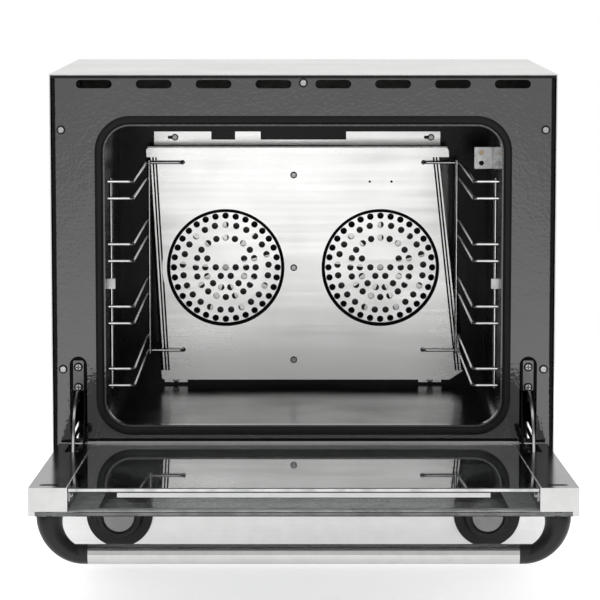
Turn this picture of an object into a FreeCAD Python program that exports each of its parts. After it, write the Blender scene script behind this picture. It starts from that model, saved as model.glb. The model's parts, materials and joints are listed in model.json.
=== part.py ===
"""Counter-top convection oven with a drop-down glass door, twin fans and wire shelf rails.

Frame: +Z up, the door opens towards -Y, the origin is on the floor at the middle of the open oven's box.
The casing and chamber are drawn from the front plane backwards (y = 0 is the front plane) and moved to
their place as a whole. The door is drawn about its hinge axis: it runs out along -Y and its inside is +Z.
"""
import FreeCAD
import Part
import Sketcher

import math
import os
import re

SIZES = [
    ("body_width", 595, "over the side panels"),
    ("body_depth", 475, "front plane to the back of the rear panel"),
    ("body_height", 585, "floor to the top panel"),
    ("sheet_gauge", 1.2, "casing sheet"),
    ("flange_depth", 15, "turned edges of the casing sheets"),
    ("foot_height", 22, "floor to the base pan"),
    ("foot_radius", 18, "top of a foot"),
    ("foot_taper", 3, "narrower at the floor by"),
    ("foot_inset_side", 60, "foot centre from the side"),
    ("foot_inset_end", 45, "foot centre from the front and the rear"),
    ("front_gauge", 1.5, "front panel sheet"),
    ("front_bend", 6, "outer radius of the front panel's side bends"),
    ("panel_gap", 0.2, "front sheets to the casing"),
    ("panel_joint", 2, "control panel to front panel"),
    ("control_panel_top", 123, "height of the control panel's upper edge"),
    ("vent_length", 42, "front vent slot"),
    ("vent_width", 10, "front vent slot"),
    ("vent_pitch", 70, "between front vent slots"),
    ("vent_drop", 11.5, "front vent slots below the top"),
    ("louvre_length", 90, "rear and side vent slot"),
    ("louvre_width", 6, "rear and side vent slot"),
    ("louvre_pitch", 16, "between rear and side vent slots"),
    ("side_louvre_height", 60, "lowest side vent slot"),
    ("side_louvre_setback", 110, "side vent slots from the rear"),
    ("screw_radius", 3.6, "head of a casing screw"),
    ("screw_head", 2.2, "height of a casing screw's head"),
    ("screw_shank", 2, "radius of a casing screw's shank"),
    ("screw_hole", 2.1, "radius of a clearance hole"),
    ("front_screw_radius", 4.2, "head of a front panel screw"),
    ("screw_edge", 13.5, "front screws from the side"),
    ("screw_top_drop", 10, "middle front screw below the top"),
    ("screw_upper_drop", 65, "upper side screws below the top"),
    ("screw_lower_drop", 348, "lower side screws below the top"),
    ("mouth_width", 466, "clear opening of the chamber"),
    ("mouth_top", 524.5, "upper edge of the opening"),
    ("mouth_bottom", 170.5, "lower edge of the opening"),
    ("mouth_radius", 30, "corner of the opening"),
    ("ring_wall", 2, "mouth ring"),
    ("ring_proud", 2.5, "mouth ring in front of the panel"),
    ("ring_depth", 8, "mouth ring behind the front plane"),
    ("fit_gap", 0.15, "round a piece set into a sheet"),
    ("gasket_width", 9.6, "door gasket"),
    ("gasket_height", 5.7, "door gasket in front of the panel"),
    ("gasket_round", 3.4, "edges of the gasket's bead"),
    ("chamber_width", 474, "inside"),
    ("chamber_ceiling", 535, "height of the inside"),
    ("chamber_floor", 164, "height of the inside"),
    ("chamber_depth", 375, "front plane to the back wall"),
    ("chamber_radius", 15, "long inner corners"),
    ("chamber_gauge", 1.2, "liner sheet"),
    ("wool_thickness", 14, "insulation"),
    ("wool_gap", 0.3, "insulation to liner"),
    ("wool_clearance", 6.5, "heating ring to the insulation's opening"),
    ("baffle_setback", 34, "baffle face to the back wall"),
    ("baffle_top", 476.3, "upper edge of the face"),
    ("baffle_bottom", 175.3, "lower edge of the face"),
    ("baffle_left_top", 202, "left edge at the top"),
    ("baffle_left_foot", 183, "left edge at the bottom"),
    ("baffle_right_top", 187, "right edge at the top"),
    ("baffle_right_foot", 209, "right edge at the bottom"),
    ("baffle_cut_width", 19, "cut-off lower right corner"),
    ("baffle_cut_height", 12, "cut-off lower right corner"),
    ("baffle_corner", 4, "radius of the face's corners"),
    ("baffle_gauge", 1.2, "baffle sheet"),
    ("wall_inset", 9, "ends of the top and bottom walls from the edges"),
    ("strip_height", 8.5, "flange on the back wall above the face"),
    ("tab_height", 19, "tabs on the back wall above the face"),
    ("tab_left_length", 74, "left tab along the strip"),
    ("tab_middle_start", 88, "small tab's left end from the middle"),
    ("tab_middle_end", 55, "small tab's right end from the middle"),
    ("tab_right_start", 56, "right tab from the middle"),
    ("tab_foot", 8, "lower tabs below the face"),
    ("tab_foot_width", 30, "lower tabs"),
    ("slit_width", 6, "side slits"),
    ("slit_rib", 1.6, "rib along the middle of a slit"),
    ("wing_flat", 2, "flat strip between a slit and its wing"),
    ("wing_depth", 5, "outer edge of a wing behind the face"),
    ("wing_relief", 1.5, "clear of the ends of a wing"),
    ("slit_margin", 12, "side slits from the upper and lower edges"),
    ("slit_left_inset_top", 13, "left slit from the left edge"),
    ("slit_left_inset_foot", 11, "left slit from the left edge"),
    ("slit_right_inset_top", 21, "right slit from the right edge"),
    ("slit_right_inset_foot", 11, "right slit from the right edge"),
    ("baffle_screw_offset", 12, "row of screws left of the middle"),
    ("baffle_screw_pitch", 120, "between the screws of the row"),
    ("tab_screw_span", 332, "between the screws of the tabs"),
    ("tab_screw_rise", 11.6, "upper tab screws above the face"),
    ("keyhole_reach", 7.3, "keyholes beside the upper tab screws"),
    ("sensor_hole_span", 28, "between the two small holes"),
    ("sensor_hole_radius", 1.5, "small holes above the right fan"),
    ("sensor_hole_rise", 111.5, "small holes above the fan axis"),
    ("spacer_radius", 5, "baffle spacer"),
    ("fan_spacing", 200, "between the fan axes"),
    ("fan_height", 321.3, "height of the fan axes"),
    ("guard_radius", 72, "flat part of the guard"),
    ("guard_opening", 76, "radius of the opening in the baffle"),
    ("guard_flange", 6, "flange behind the baffle"),
    ("guard_recess", 4, "guard behind the baffle's face"),
    ("guard_gauge", 1, "guard sheet"),
    ("hole_radius", 4.2, "guard perforation"),
    ("ring_one", 12.9, "first ring of perforations"),
    ("ring_two", 26.4, "second ring of perforations"),
    ("ring_three", 38.7, "third ring of perforations"),
    ("ring_four", 55.5, "fourth ring of perforations"),
    ("ring_five", 67.1, "fifth ring of perforations"),
    ("fan_radius", 62, "fan wheel"),
    ("fan_plate", 25, "fan plate behind the baffle's face"),
    ("fan_gauge", 1.2, "fan sheet"),
    ("blade_height", 15, "blades in front of the fan plate"),
    ("blade_root", 18, "inner end of a blade"),
    ("blade_inset", 2, "outer end of a blade from the wheel's edge"),
    ("blade_lean", 10, "outer end of a blade ahead of its root"),
    ("hub_radius", 9, "fan hub"),
    ("hub_length", 15, "fan hub"),
    ("shaft_radius", 4, "fan shaft"),
    ("shaft_insert", 30, "shaft inside the motor"),
    ("running_fit", 0.05, "shaft in its bore"),
    ("shaft_hole", 8, "radius of the hole for the shaft in the back wall"),
    ("motor_gap", 24, "back wall to the motor's flange"),
    ("motor_nose", 6, "motor boss in front of its flange"),
    ("motor_nose_radius", 14, "motor boss"),
    ("motor_flange", 52, "radius"),
    ("motor_flange_gauge", 3, "motor flange"),
    ("motor_radius", 38, "motor can"),
    ("motor_length", 46, "motor can"),
    ("standoff_circle", 46, "standoffs from the motor's axis"),
    ("standoff_radius", 5, "motor standoff"),
    ("element_circle", 73, "heating ring"),
    ("element_radius", 3.25, "heating tube"),
    ("element_setback", 16, "heating ring behind the baffle's face"),
    ("element_gap", 12, "half the gap between the tube's ends"),
    ("element_bend", 8, "turn from the ring to a leg"),
    ("element_tail", 22, "leg behind the back wall"),
    ("element_fit", 0.35, "leg in its hole"),
    ("wire_radius", 2, "shelf rail wire"),
    ("wire_bend", 5, "shelf rail bends"),
    ("weld_gap", 0.05, "between welded wires"),
    ("rail_top", 457.7, "uppermost wire"),
    ("rail_pitch", 74.4, "between tray positions"),
    ("rail_drop", 20, "lower wire of a tray position"),
    ("rail_span", 403.4, "between the left and right tray wires"),
    ("rail_wall_span", 455, "between the front uprights"),
    ("rail_front", 25, "front uprights behind the front plane"),
    ("rail_overshoot", 3.5, "wire ends past an upright"),
    ("rail_rear_gap", 9.5, "rear uprights in front of the baffle"),
    ("hook_span", 310, "between the hooks' holes"),
    ("hook_insert", 6, "hook behind the baffle's face"),
    ("hook_hole", 3, "radius of a hook's hole"),
    ("clip_height", 12, "rail clip"),
    ("clip_wall", 2.5, "rail clip round the wire"),
    ("clip_fit", 0.25, "wire in its clip"),
    ("bulb_setback", 245, "bulb bracket behind the front plane"),
    ("bulb_height", 470, "middle of the bulb bracket"),
    ("bulb_bracket_width", 22, "bulb bracket out from the wall"),
    ("bulb_bracket_height", 27, "bulb bracket"),
    ("bulb_foot", 18, "bracket's foot along the wall"),
    ("bulb_pitch", 13, "between the bracket's holes"),
    ("bulb_inset", 13.2, "bracket's holes from the wall"),
    ("bulb_radius", 3, "thermostat bulb"),
    ("bulb_length", 80, "thermostat bulb"),
    ("hinge_offset", 266, "hinges from the middle"),
    ("hinge_slot_width", 20.6, "slot in the front panel"),
    ("hinge_slot_top", 252, "slot in the front panel"),
    ("hinge_slot_bottom", 154, "slot in the front panel"),
    ("pivot_forward", 21, "hinge axis in front of the front plane"),
    ("pivot_height", 136, "height of the hinge axis"),
    ("pin_radius", 4, "hinge pin"),
    ("eye_radius", 8, "round the hinge pin"),
    ("cheek_gauge", 2, "hinge bracket"),
    ("cheek_span", 12, "between the bracket's cheeks"),
    ("bracket_depth", 62, "hinge bracket behind the front plane"),
    ("bracket_plate_width", 25, "bracket's plate behind the slot"),
    ("bracket_plate_bottom", 211.5, "lower edge of the bracket's plate"),
    ("hinge_screw_upper", 239.5, "height of a hinge screw"),
    ("hinge_screw_lower", 215.5, "height of a hinge screw"),
    ("pad_width", 12.4, "raised pad under the hinge screws"),
    ("pad_drop", 5, "pad below the slot's top"),
    ("pad_proud", 1, "pad in front of the bracket's plate"),
    ("arm_radius", 72, "middle of the hinge arm's curve"),
    ("arm_width", 10, "hinge arm"),
    ("arm_bar_width", 14, "straight part of the arm"),
    ("arm_gauge", 2.5, "hinge arm"),
    ("head_angle", 6.7, "length of the arm's head"),
    ("head_height", 7, "head outside the curve"),
    ("notch_radius", 2.5, "notches in the arm"),
    ("rivet_reach", 48, "arm rivet from the hinge axis"),
    ("rivet_radius", 3, "arm rivet"),
    ("door_rest_tilt", 2.94, "open door above level"),
    ("door_width", 576, "over the stiles"),
    ("door_thickness", 30, "door"),
    ("door_heel", 8, "stiles behind the hinge axis"),
    ("door_reach", 407, "hinge axis to the door's far edge"),
    ("stile_width", 41, "door stile"),
    ("stile_flange", 7, "outer flange of a stile"),
    ("stile_gauge", 1.2, "stile sheet"),
    ("stile_slot", 19, "width of the slot for the hinge"),
    ("stile_slot_reach", 86, "slot from the hinge axis"),
    ("access_length", 22, "oval hole over the handle bolt"),
    ("access_width", 12, "oval hole over the handle bolt"),
    ("glass_thickness", 5, "door glass"),
    ("glass_gap", 0.2, "door glass to the stiles"),
    ("glass_edge", 1, "inner glass short of the stiles' far ends"),
    ("heel_gauge", 1, "heel rail"),
    ("heel_lip", 2, "heel rail above the inner glass"),
    ("heel_lip_depth", 7, "lip down the heel rail"),
    ("heel_depth", 14, "heel rail along the door"),
    ("heel_notch", 22, "notch in the lip at a hinge"),
    ("retainer_span", 390, "glass retainer"),
    ("retainer_height", 4.7, "glass retainer"),
    ("retainer_depth", 6, "glass retainer"),
    ("seat_gap", 0.3, "retainer to glass"),
    ("clip_leg", 8, "glass clip"),
    ("clip_drop", 12, "glass clip down the stile"),
    ("clip_length", 20, "glass clip along the stile"),
    ("clip_first", 40, "first glass clip from the hinge axis"),
    ("clip_last", 375, "last glass clip from the hinge axis"),
    ("handle_inset", 25, "handle from the far edge"),
    ("handle_drop", 43.1, "handle tube from the outer glass"),
    ("tube_radius", 10.5, "handle tube"),
    ("tube_wall", 1.2, "handle tube"),
    ("elbow_radius", 13.9, "elbow at the door"),
    ("elbow_offset", 267.5, "handle elbows from the middle"),
    ("elbow_bend", 40.4, "elbow's middle line"),
    ("elbow_tip", 8, "elbow inside its sleeve"),
    ("elbow_sag", 2.4, "middle of the elbow's tip below the tube's"),
    ("sleeve_top", 14, "elbow's sleeve at its top"),
    ("sleeve_foot", 5, "elbow's sleeve at its foot"),
    ("spigot_length", 16, "elbow inside the tube"),
    ("spigot_fit", 0.1, "elbow inside the tube"),
    ("bolt_radius", 3, "handle bolt"),
    ("bolt_head", 5, "radius of the handle bolt's head"),
    ("bolt_head_height", 4, "handle bolt"),
    ("bolt_fit", 0.3, "handle bolt in its holes"),
    ("knob_offset", 218, "knobs from the middle"),
    ("knob_height", 64, "height of the knobs"),
    ("knob_gap", 1.5, "knob to panel"),
    ("skirt_radius", 39.2, "knob skirt"),
    ("skirt_height", 5, "knob skirt"),
    ("knob_radius", 25.2, "knob"),
    ("knob_length", 22, "knob in front of the panel"),
    ("knob_draft", 3.3, "knob wider at its skirt by"),
    ("cap_radius", 17.9, "knob cap"),
    ("cap_height", 4, "knob cap"),
    ("cap_groove", 2.7, "groove round the knob cap"),
    ("stem_radius", 3, "knob stem"),
    ("stem_front", 14, "stem in front of the panel"),
    ("stem_insert", 20, "stem inside its switch"),
    ("stem_hole", 5, "radius of the stem's hole in the panel"),
    ("switch_width", 44, "timer and thermostat bodies"),
    ("switch_depth", 36, "timer and thermostat bodies"),
    ("switch_rise", 2.5, "switch body above its stem"),
    ("lamp_offset", 150, "indicator lamps from the middle"),
    ("lamp_height", 95, "height of the indicator lamps"),
    ("lamp_radius", 5, "lamp body"),
    ("lamp_bezel", 7, "lamp bezel"),
    ("lamp_proud", 3, "lamp in front of the panel"),
    ("lamp_depth", 18, "lamp behind the panel"),
    ("gland_offset", 200, "cable gland from the middle"),
    ("gland_height", 75, "height of the cable gland"),
    ("gland_reach", 20, "cable gland behind the rear panel"),
    ("gland_neck", 9, "radius of the gland in the panel"),
    ("gland_nut", 13, "radius of the gland's nut"),
    ("gland_nut_length", 8, "gland's nut behind the rear panel"),
    ("gland_dome", 10, "radius of the dome at the nut"),
    ("gland_bore", 5, "radius of the gland's bore"),
    ("gland_tip_wall", 2, "dome at its tip"),
    ("block_width", 70, "terminal block"),
    ("block_depth", 26, "terminal block"),
    ("block_height", 22, "terminal block"),
    ("block_setback", 60, "terminal block from the rear"),
    ("block_pitch", 14, "between terminals"),
    ("terminal_radius", 3, "terminal screw well"),
]
NAMES = {name for name, _, _ in SIZES}

FRONT_VENTS = 8
LOUVRES = 5
TRAYS = 4
BLADES = 9
NOTCHES = 6
TERMINALS = 4
SIDES = (("left", -1), ("right", 1))

doc = FreeCAD.newDocument("convection_oven")
sheet = doc.addObject("Spreadsheet::Sheet", "sizes")
for row, (name, number, note) in enumerate(SIZES, start=1):
    sheet.set(f"A{row}", name)
    sheet.set(f"B{row}", str(number))
    sheet.set(f"C{row}", note)
    sheet.setAlias(f"B{row}", name)
doc.recompute()

subparts = []


# Formulas: plain size names become references to the sheet

def formula(text):
    return re.sub(r"[a-z]\w*", lambda word: f"sizes.{word[0]}" if word[0] in NAMES else word[0], str(text))


def value(text):
    return float(sheet.evalExpression(formula(text)))


def bind(item, target, text):
    item.setExpression(target, formula(text))


SIDE_IN = "(body_width / 2 - sheet_gauge)"
REAR_IN = "(body_depth - sheet_gauge)"
TOP_IN = "(body_height - sheet_gauge)"
FRONT_HALF = f"({SIDE_IN} - panel_gap)"
FRONT_BOTTOM = "(control_panel_top + panel_joint)"
FRONT_TOP = f"({TOP_IN} - panel_gap)"
BAFFLE_Y = "(chamber_depth - baffle_setback)"
BAFFLE_BACK = f"({BAFFLE_Y} + baffle_gauge)"
TAB_Y = "(chamber_depth - baffle_gauge)"
LINER_BACK = "(chamber_depth + chamber_gauge)"
MOTOR_Y = f"({LINER_BACK} + motor_gap)"
MOUTH = ("-mouth_width / 2", "mouth_width / 2", "mouth_bottom", "mouth_top")
CHAMBER = ("-chamber_width / 2", "chamber_width / 2", "chamber_floor", "chamber_ceiling")
STILE_IN = "(door_width / 2 - stile_width)"
STILE_BOX = "(door_width / 2 - stile_flange)"
INNER_FACE = "(door_thickness / 2)"
OUTER_FACE = "(-door_thickness / 2)"
GLASS_SEAT = f"({OUTER_FACE} + glass_thickness)"
HANDLE_S = "(door_reach - handle_inset)"
DOOR_EDGE = "(door_reach * cos(door_rest_tilt) + door_thickness / 2 * sin(door_rest_tilt))"
FRONT_Y = f"((pivot_forward + {DOOR_EDGE} - body_depth - gland_reach) / 2)"


def grown(box, by):
    left, right, low, high = box
    return f"{left} - ({by})", f"{right} + ({by})", f"{low} - ({by})", f"{high} + ({by})"


# Sketches and bodies

class Outline:
    """A sketch on one of a body's own planes, with every point tied to the sheet."""

    def __init__(self, piece, plane, at):
        self.plane = plane
        self.sketch = piece.body.newObject("Sketcher::SketchObject", "outline")
        self.sketch.AttachmentSupport = [(piece.origin[plane], "")]
        self.sketch.MapMode = "FlatFace"
        bind(self.sketch, "AttachmentOffset.Base.z", f"-({at})" if plane == "XZ_Plane" else at)

    def tie(self, kind, text, *geometry):
        index = self.sketch.addConstraint(Sketcher.Constraint(kind, *geometry, value(text)))
        bind(self.sketch, f"Constraints[{index}]", text)

    def fix(self, geometry, position, x, y):
        self.tie("DistanceX", x, -1, 1, geometry, position)
        self.tie("DistanceY", y, -1, 1, geometry, position)

    def circle(self, x, y, radius):
        centre = FreeCAD.Vector(value(x), value(y), 0)
        edge = self.sketch.addGeometry(Part.Circle(centre, FreeCAD.Vector(0, 0, 1), value(radius)))
        self.fix(edge, 3, x, y)
        self.tie("Radius", radius, edge)
        return self

    def polygon(self, corners):
        points = [FreeCAD.Vector(value(x), value(y), 0) for x, y in corners]
        edges = []
        for index, point in enumerate(points):
            after = points[(index + 1) % len(points)]
            edges.append(self.sketch.addGeometry(Part.LineSegment(point, after)))
        for index, edge in enumerate(edges):
            after = edges[(index + 1) % len(edges)]
            self.sketch.addConstraint(Sketcher.Constraint("Coincident", edge, 2, after, 1))
            self.fix(edge, 1, *corners[index])
        return self

    def rectangle(self, left, right, low, high):
        return self.polygon([(left, low), (right, low), (right, high), (left, high)])

    def arc(self, x, y, radius, start, end):
        """An arc about (x, y), anticlockwise between two angles in degrees."""
        centre = FreeCAD.Vector(value(x), value(y), 0)
        circle = Part.Circle(centre, FreeCAD.Vector(0, 0, 1), value(radius))
        turn = Part.ArcOfCircle(circle, math.radians(start), math.radians(end))
        edge = self.sketch.addGeometry(turn)
        self.fix(edge, 3, x, y)
        self.tie("Radius", radius, edge)
        return edge

    def join(self, first, first_end, second, second_end):
        """A tangent line from one arc's end to another's."""
        points = []
        for edge, end in ((first, first_end), (second, second_end)):
            points.append(self.sketch.getPoint(edge, end))
        line = self.sketch.addGeometry(Part.LineSegment(*points))
        self.sketch.addConstraint(Sketcher.Constraint("Tangent", first, first_end, line, 1))
        self.sketch.addConstraint(Sketcher.Constraint("Tangent", line, 2, second, second_end))

    def rounded(self, left, right, low, high, radius):
        corners = [(right, "-", low, "+", 270), (right, "-", high, "-", 0),
                   (left, "+", high, "-", 90), (left, "+", low, "+", 180)]
        arcs = []
        for x, x_sign, y, y_sign, start in corners:
            centre = (f"{x} {x_sign} ({radius})", f"{y} {y_sign} ({radius})")
            arcs.append(self.arc(*centre, radius, start, start + 90))
        for index, edge in enumerate(arcs):
            self.join(edge, 2, arcs[(index + 1) % 4], 1)
        return self

    def slot(self, x, y, length, width, upright=False):
        half = f"(({length}) - ({width})) / 2"
        radius = f"({width}) / 2"
        if upright:
            ends = (self.arc(x, f"{y} + {half}", radius, 0, 180),
                    self.arc(x, f"{y} - {half}", radius, 180, 360))
        else:
            ends = (self.arc(f"{x} + {half}", y, radius, -90, 90),
                    self.arc(f"{x} - {half}", y, radius, 90, 270))
        self.join(ends[0], 2, ends[1], 1)
        self.join(ends[1], 2, ends[0], 1)
        return self


class Piece:
    """One sub-part as a body. Directions are given along the world axis across the sketch's plane."""

    def __init__(self, label):
        self.body = doc.addObject("PartDesign::Body", label)
        self.body.Label = label
        self.origin = {item.Role: item for item in self.body.Origin.OriginFeatures}
        subparts.append(self.body)

    def outline(self, plane, at="0"):
        return Outline(self, plane + "_Plane", at)

    def feature(self, kind, outline):
        item = self.body.newObject(f"PartDesign::{kind}", kind.lower())
        item.Profile = outline.sketch
        self.body.Tip = item
        return item

    def pad(self, outline, length, positive=True):
        item = self.feature("Pad", outline)
        item.Reversed = positive == (outline.plane == "XZ_Plane")
        bind(item, "Length", length)
        return item

    def refresh(self):
        doc.recompute([self.body.Tip])
        return self.body.Tip.Shape

    def pocket(self, outline, length, positive=True):
        before = self.refresh().Volume
        item = self.feature("Pocket", outline)
        item.Reversed = positive != (outline.plane == "XZ_Plane")
        bind(item, "Length", length)
        if not self.refresh().Volume < before:
            raise RuntimeError(f"a pocket of {self.body.Label} cuts nothing")
        return item

    def revolve(self, outline):
        """A full turn about the sketch's upright axis."""
        item = self.feature("Revolution", outline)
        item.ReferenceAxis = (outline.sketch, ["V_Axis"])
        item.Angle = 360
        return item

    def turn(self, feature, axis, angle, count):
        pattern = self.body.newObject("PartDesign::PolarPattern", "pattern")
        pattern.Originals = [feature]
        pattern.Axis = (self.origin[axis], [""])
        pattern.Angle = angle
        pattern.Occurrences = count
        self.body.Tip = pattern

    def loft(self, first, second):
        """A straight body between two outlines with like corners."""
        item = self.feature("AdditiveLoft", first)
        item.Sections = [second.sketch]
        item.Ruled = True

    def fillet(self, chosen, radius):
        base = self.body.Tip
        edges = [f"Edge{n}" for n, edge in enumerate(self.refresh().Edges, start=1) if chosen(edge)]
        item = self.body.newObject("PartDesign::Fillet", "fillet")
        item.Base = (base, edges)
        bind(item, "Radius", radius)
        self.body.Tip = item

    def twin(self, label):
        """A second body of the same shape, to be placed elsewhere."""
        other = Piece(label)
        clone = other.body.newObject("PartDesign::FeatureBase", "clone")
        clone.BaseFeature = self.body.Tip
        other.body.Tip = clone
        return other


def place(item, x="0", y=FRONT_Y, z="0"):
    bind(item, "Placement.Base.x", x)
    bind(item, "Placement.Base.y", y)
    bind(item, "Placement.Base.z", z)
    return item


def place_on_door(item):
    item.Placement.Rotation = FreeCAD.Rotation(FreeCAD.Vector(1, 0, 0), 1)
    bind(item, "Placement.Rotation.Angle", "-door_rest_tilt")
    return place(item, "0", f"{FRONT_Y} - pivot_forward", "pivot_height")


# Primitives and groups of like pieces

AXES = {"X": FreeCAD.Rotation(FreeCAD.Vector(0, 1, 0), 90),
        "Y": FreeCAD.Rotation(FreeCAD.Vector(1, 0, 0), -90),
        "Z": FreeCAD.Rotation()}


def rod(label, axis, x, y, z, radius, length):
    item = doc.addObject("Part::Cylinder", label)
    item.Label = label
    bind(item, "Radius", radius)
    bind(item, "Height", length)
    item.Placement.Rotation = AXES[axis]
    return place(item, x, y, z)


def block(label, x, y, z, length, width, height):
    item = doc.addObject("Part::Box", label)
    item.Label = label
    bind(item, "Length", length)
    bind(item, "Width", width)
    bind(item, "Height", height)
    return place(item, x, y, z)


def fused(label, *members):
    item = doc.addObject("Part::MultiFuse", label)
    item.Label = label
    item.Shapes = list(members)
    return item


def cut(label, base, tool):
    item = doc.addObject("Part::Cut", label)
    item.Label = label
    item.Base = base
    item.Tool = tool
    return item


def group(label, members):
    item = doc.addObject("Part::Compound", label)
    item.Label = label
    item.Links = members
    subparts.append(item)
    return item


def screws(label, axis, places, head_side, radius, shank):
    """Pan-head screws. head_side is -1 where the head lies on the axis's lower side of its seat."""
    members = []
    for index, (x, y, z) in enumerate(places, start=1):
        seat = {"X": x, "Y": y, "Z": z}
        head_start = dict(seat)
        shank_start = dict(seat)
        if head_side < 0:
            head_start[axis] = f"{seat[axis]} - screw_head"
        else:
            shank_start[axis] = f"{seat[axis]} - ({shank})"
        head = rod(f"{label}_head_{index}", axis, *head_start.values(), radius, "screw_head")
        stem = rod(f"{label}_shank_{index}", axis, *shank_start.values(), "screw_shank", shank)
        members.append(fused(f"{label}_{index}", head, stem))
    return group(label, members)


# Wires and tubes bent from straight runs and tangent arcs

def bent_wire(points, bend):
    """Runs through the points, each inner corner turned by an arc of the given radius."""
    edges = []
    start = points[0]
    for before, corner, after in zip(points, points[1:], points[2:]):
        back = (before - corner).normalize()
        ahead = (after - corner).normalize()
        half = back.getAngle(ahead) / 2
        reach = bend / math.tan(half)
        middle = corner + (back + ahead).normalize() * (bend / math.sin(half) - bend)
        edges.append(Part.LineSegment(start, corner + back * reach))
        edges.append(Part.Arc(corner + back * reach, middle, corner + ahead * reach))
        start = corner + ahead * reach
    edges.append(Part.LineSegment(start, points[-1]))
    return Part.Wire([edge.toShape() for edge in edges])


def tube_along(path, radius):
    first = path.Edges[0]
    start = first.valueAt(first.FirstParameter)
    heading = first.tangentAt(first.FirstParameter)
    ring = Part.Wire([Part.makeCircle(radius, start, heading)])
    return path.makePipeShell([ring], True, False)


def shaped(label, shape):
    item = doc.addObject("Part::Feature", label)
    item.Label = label
    item.Shape = shape
    subparts.append(item)
    return item


# Casing

def u_flange(piece, at, y_start, positive):
    """A turned edge along both sides and the rear, just inside the side and rear panels."""
    inner = f"({SIDE_IN} - sheet_gauge)"
    rear = f"({REAR_IN} - sheet_gauge)"
    edge = piece.outline("XY", at)
    edge.polygon([(f"-{SIDE_IN}", y_start), (f"-{inner}", y_start), (f"-{inner}", rear), (inner, rear),
                  (inner, y_start), (SIDE_IN, y_start), (SIDE_IN, REAR_IN), (f"-{SIDE_IN}", REAR_IN)])
    piece.pad(edge, "flange_depth", positive)


def make_top_panel():
    piece = Piece("top_panel")
    cover = piece.outline("XY", TOP_IN)
    cover.rectangle("-body_width / 2", "body_width / 2", "0", "body_depth")
    piece.pad(cover, "sheet_gauge")
    u_flange(piece, TOP_IN, "flange_depth + panel_joint", False)
    place(piece.body)


def make_side_panels():
    for side, sign in SIDES:
        piece = Piece(f"{side}_side_panel")
        wall = piece.outline("YZ", SIDE_IN if sign > 0 else "-body_width / 2")
        wall.rectangle("0", "body_depth", "foot_height", TOP_IN)
        for index in range(LOUVRES):
            height = f"side_louvre_height + {index} * louvre_pitch"
            wall.slot("body_depth - side_louvre_setback", height, "louvre_length", "louvre_width")
        piece.pad(wall, "sheet_gauge")
        place(piece.body)


def make_rear_panel():
    piece = Piece("rear_panel")
    wall = piece.outline("XZ", REAR_IN).rectangle(f"-{SIDE_IN}", SIDE_IN, "foot_height", TOP_IN)
    for _, sign in SIDES:
        for index in range(LOUVRES):
            height = f"fan_height + {index - (LOUVRES - 1) / 2} * louvre_pitch"
            wall.slot(f"{sign} * fan_spacing / 2", height, "louvre_length", "louvre_width")
    wall.circle("-gland_offset", "gland_height", "gland_neck")
    piece.pad(wall, "sheet_gauge")
    edges = piece.outline("XZ", REAR_IN)
    low = "foot_height + flange_depth + panel_joint + sheet_gauge"
    high = f"{TOP_IN} - flange_depth - panel_joint"
    edges.rectangle(f"-{SIDE_IN}", f"-{SIDE_IN} + sheet_gauge", low, high)
    edges.rectangle(f"{SIDE_IN} - sheet_gauge", SIDE_IN, low, high)
    piece.pad(edges, "flange_depth", False)
    place(piece.body)


def foot_places():
    for _, sign in SIDES:
        x = f"{sign} * (body_width / 2 - foot_inset_side)"
        for y in ("foot_inset_end", "body_depth - foot_inset_end"):
            yield x, y


def make_base_pan():
    piece = Piece("base_pan")
    floor = piece.outline("XY", "foot_height").rectangle(f"-{SIDE_IN}", SIDE_IN, "sheet_gauge", REAR_IN)
    for x, y in foot_places():
        floor.circle(x, y, "screw_hole")
    piece.pad(floor, "sheet_gauge")
    u_flange(piece, "foot_height + sheet_gauge", "flange_depth + panel_joint", True)
    place(piece.body)


def make_feet():
    members = []
    for index, (x, y) in enumerate(foot_places(), start=1):
        foot = doc.addObject("Part::Cone", f"foot_{index}")
        bind(foot, "Radius1", "foot_radius - foot_taper")
        bind(foot, "Radius2", "foot_radius")
        bind(foot, "Height", "foot_height")
        members.append(place(foot, x, f"{FRONT_Y} + {y}", "0"))
    group("feet", members)


def front_screw_places():
    yield "0", "body_height - screw_top_drop"
    for _, sign in SIDES:
        x = f"{sign} * (body_width / 2 - screw_edge)"
        yield x, "body_height - screw_upper_drop"
        yield x, "body_height - screw_lower_drop"


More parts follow.
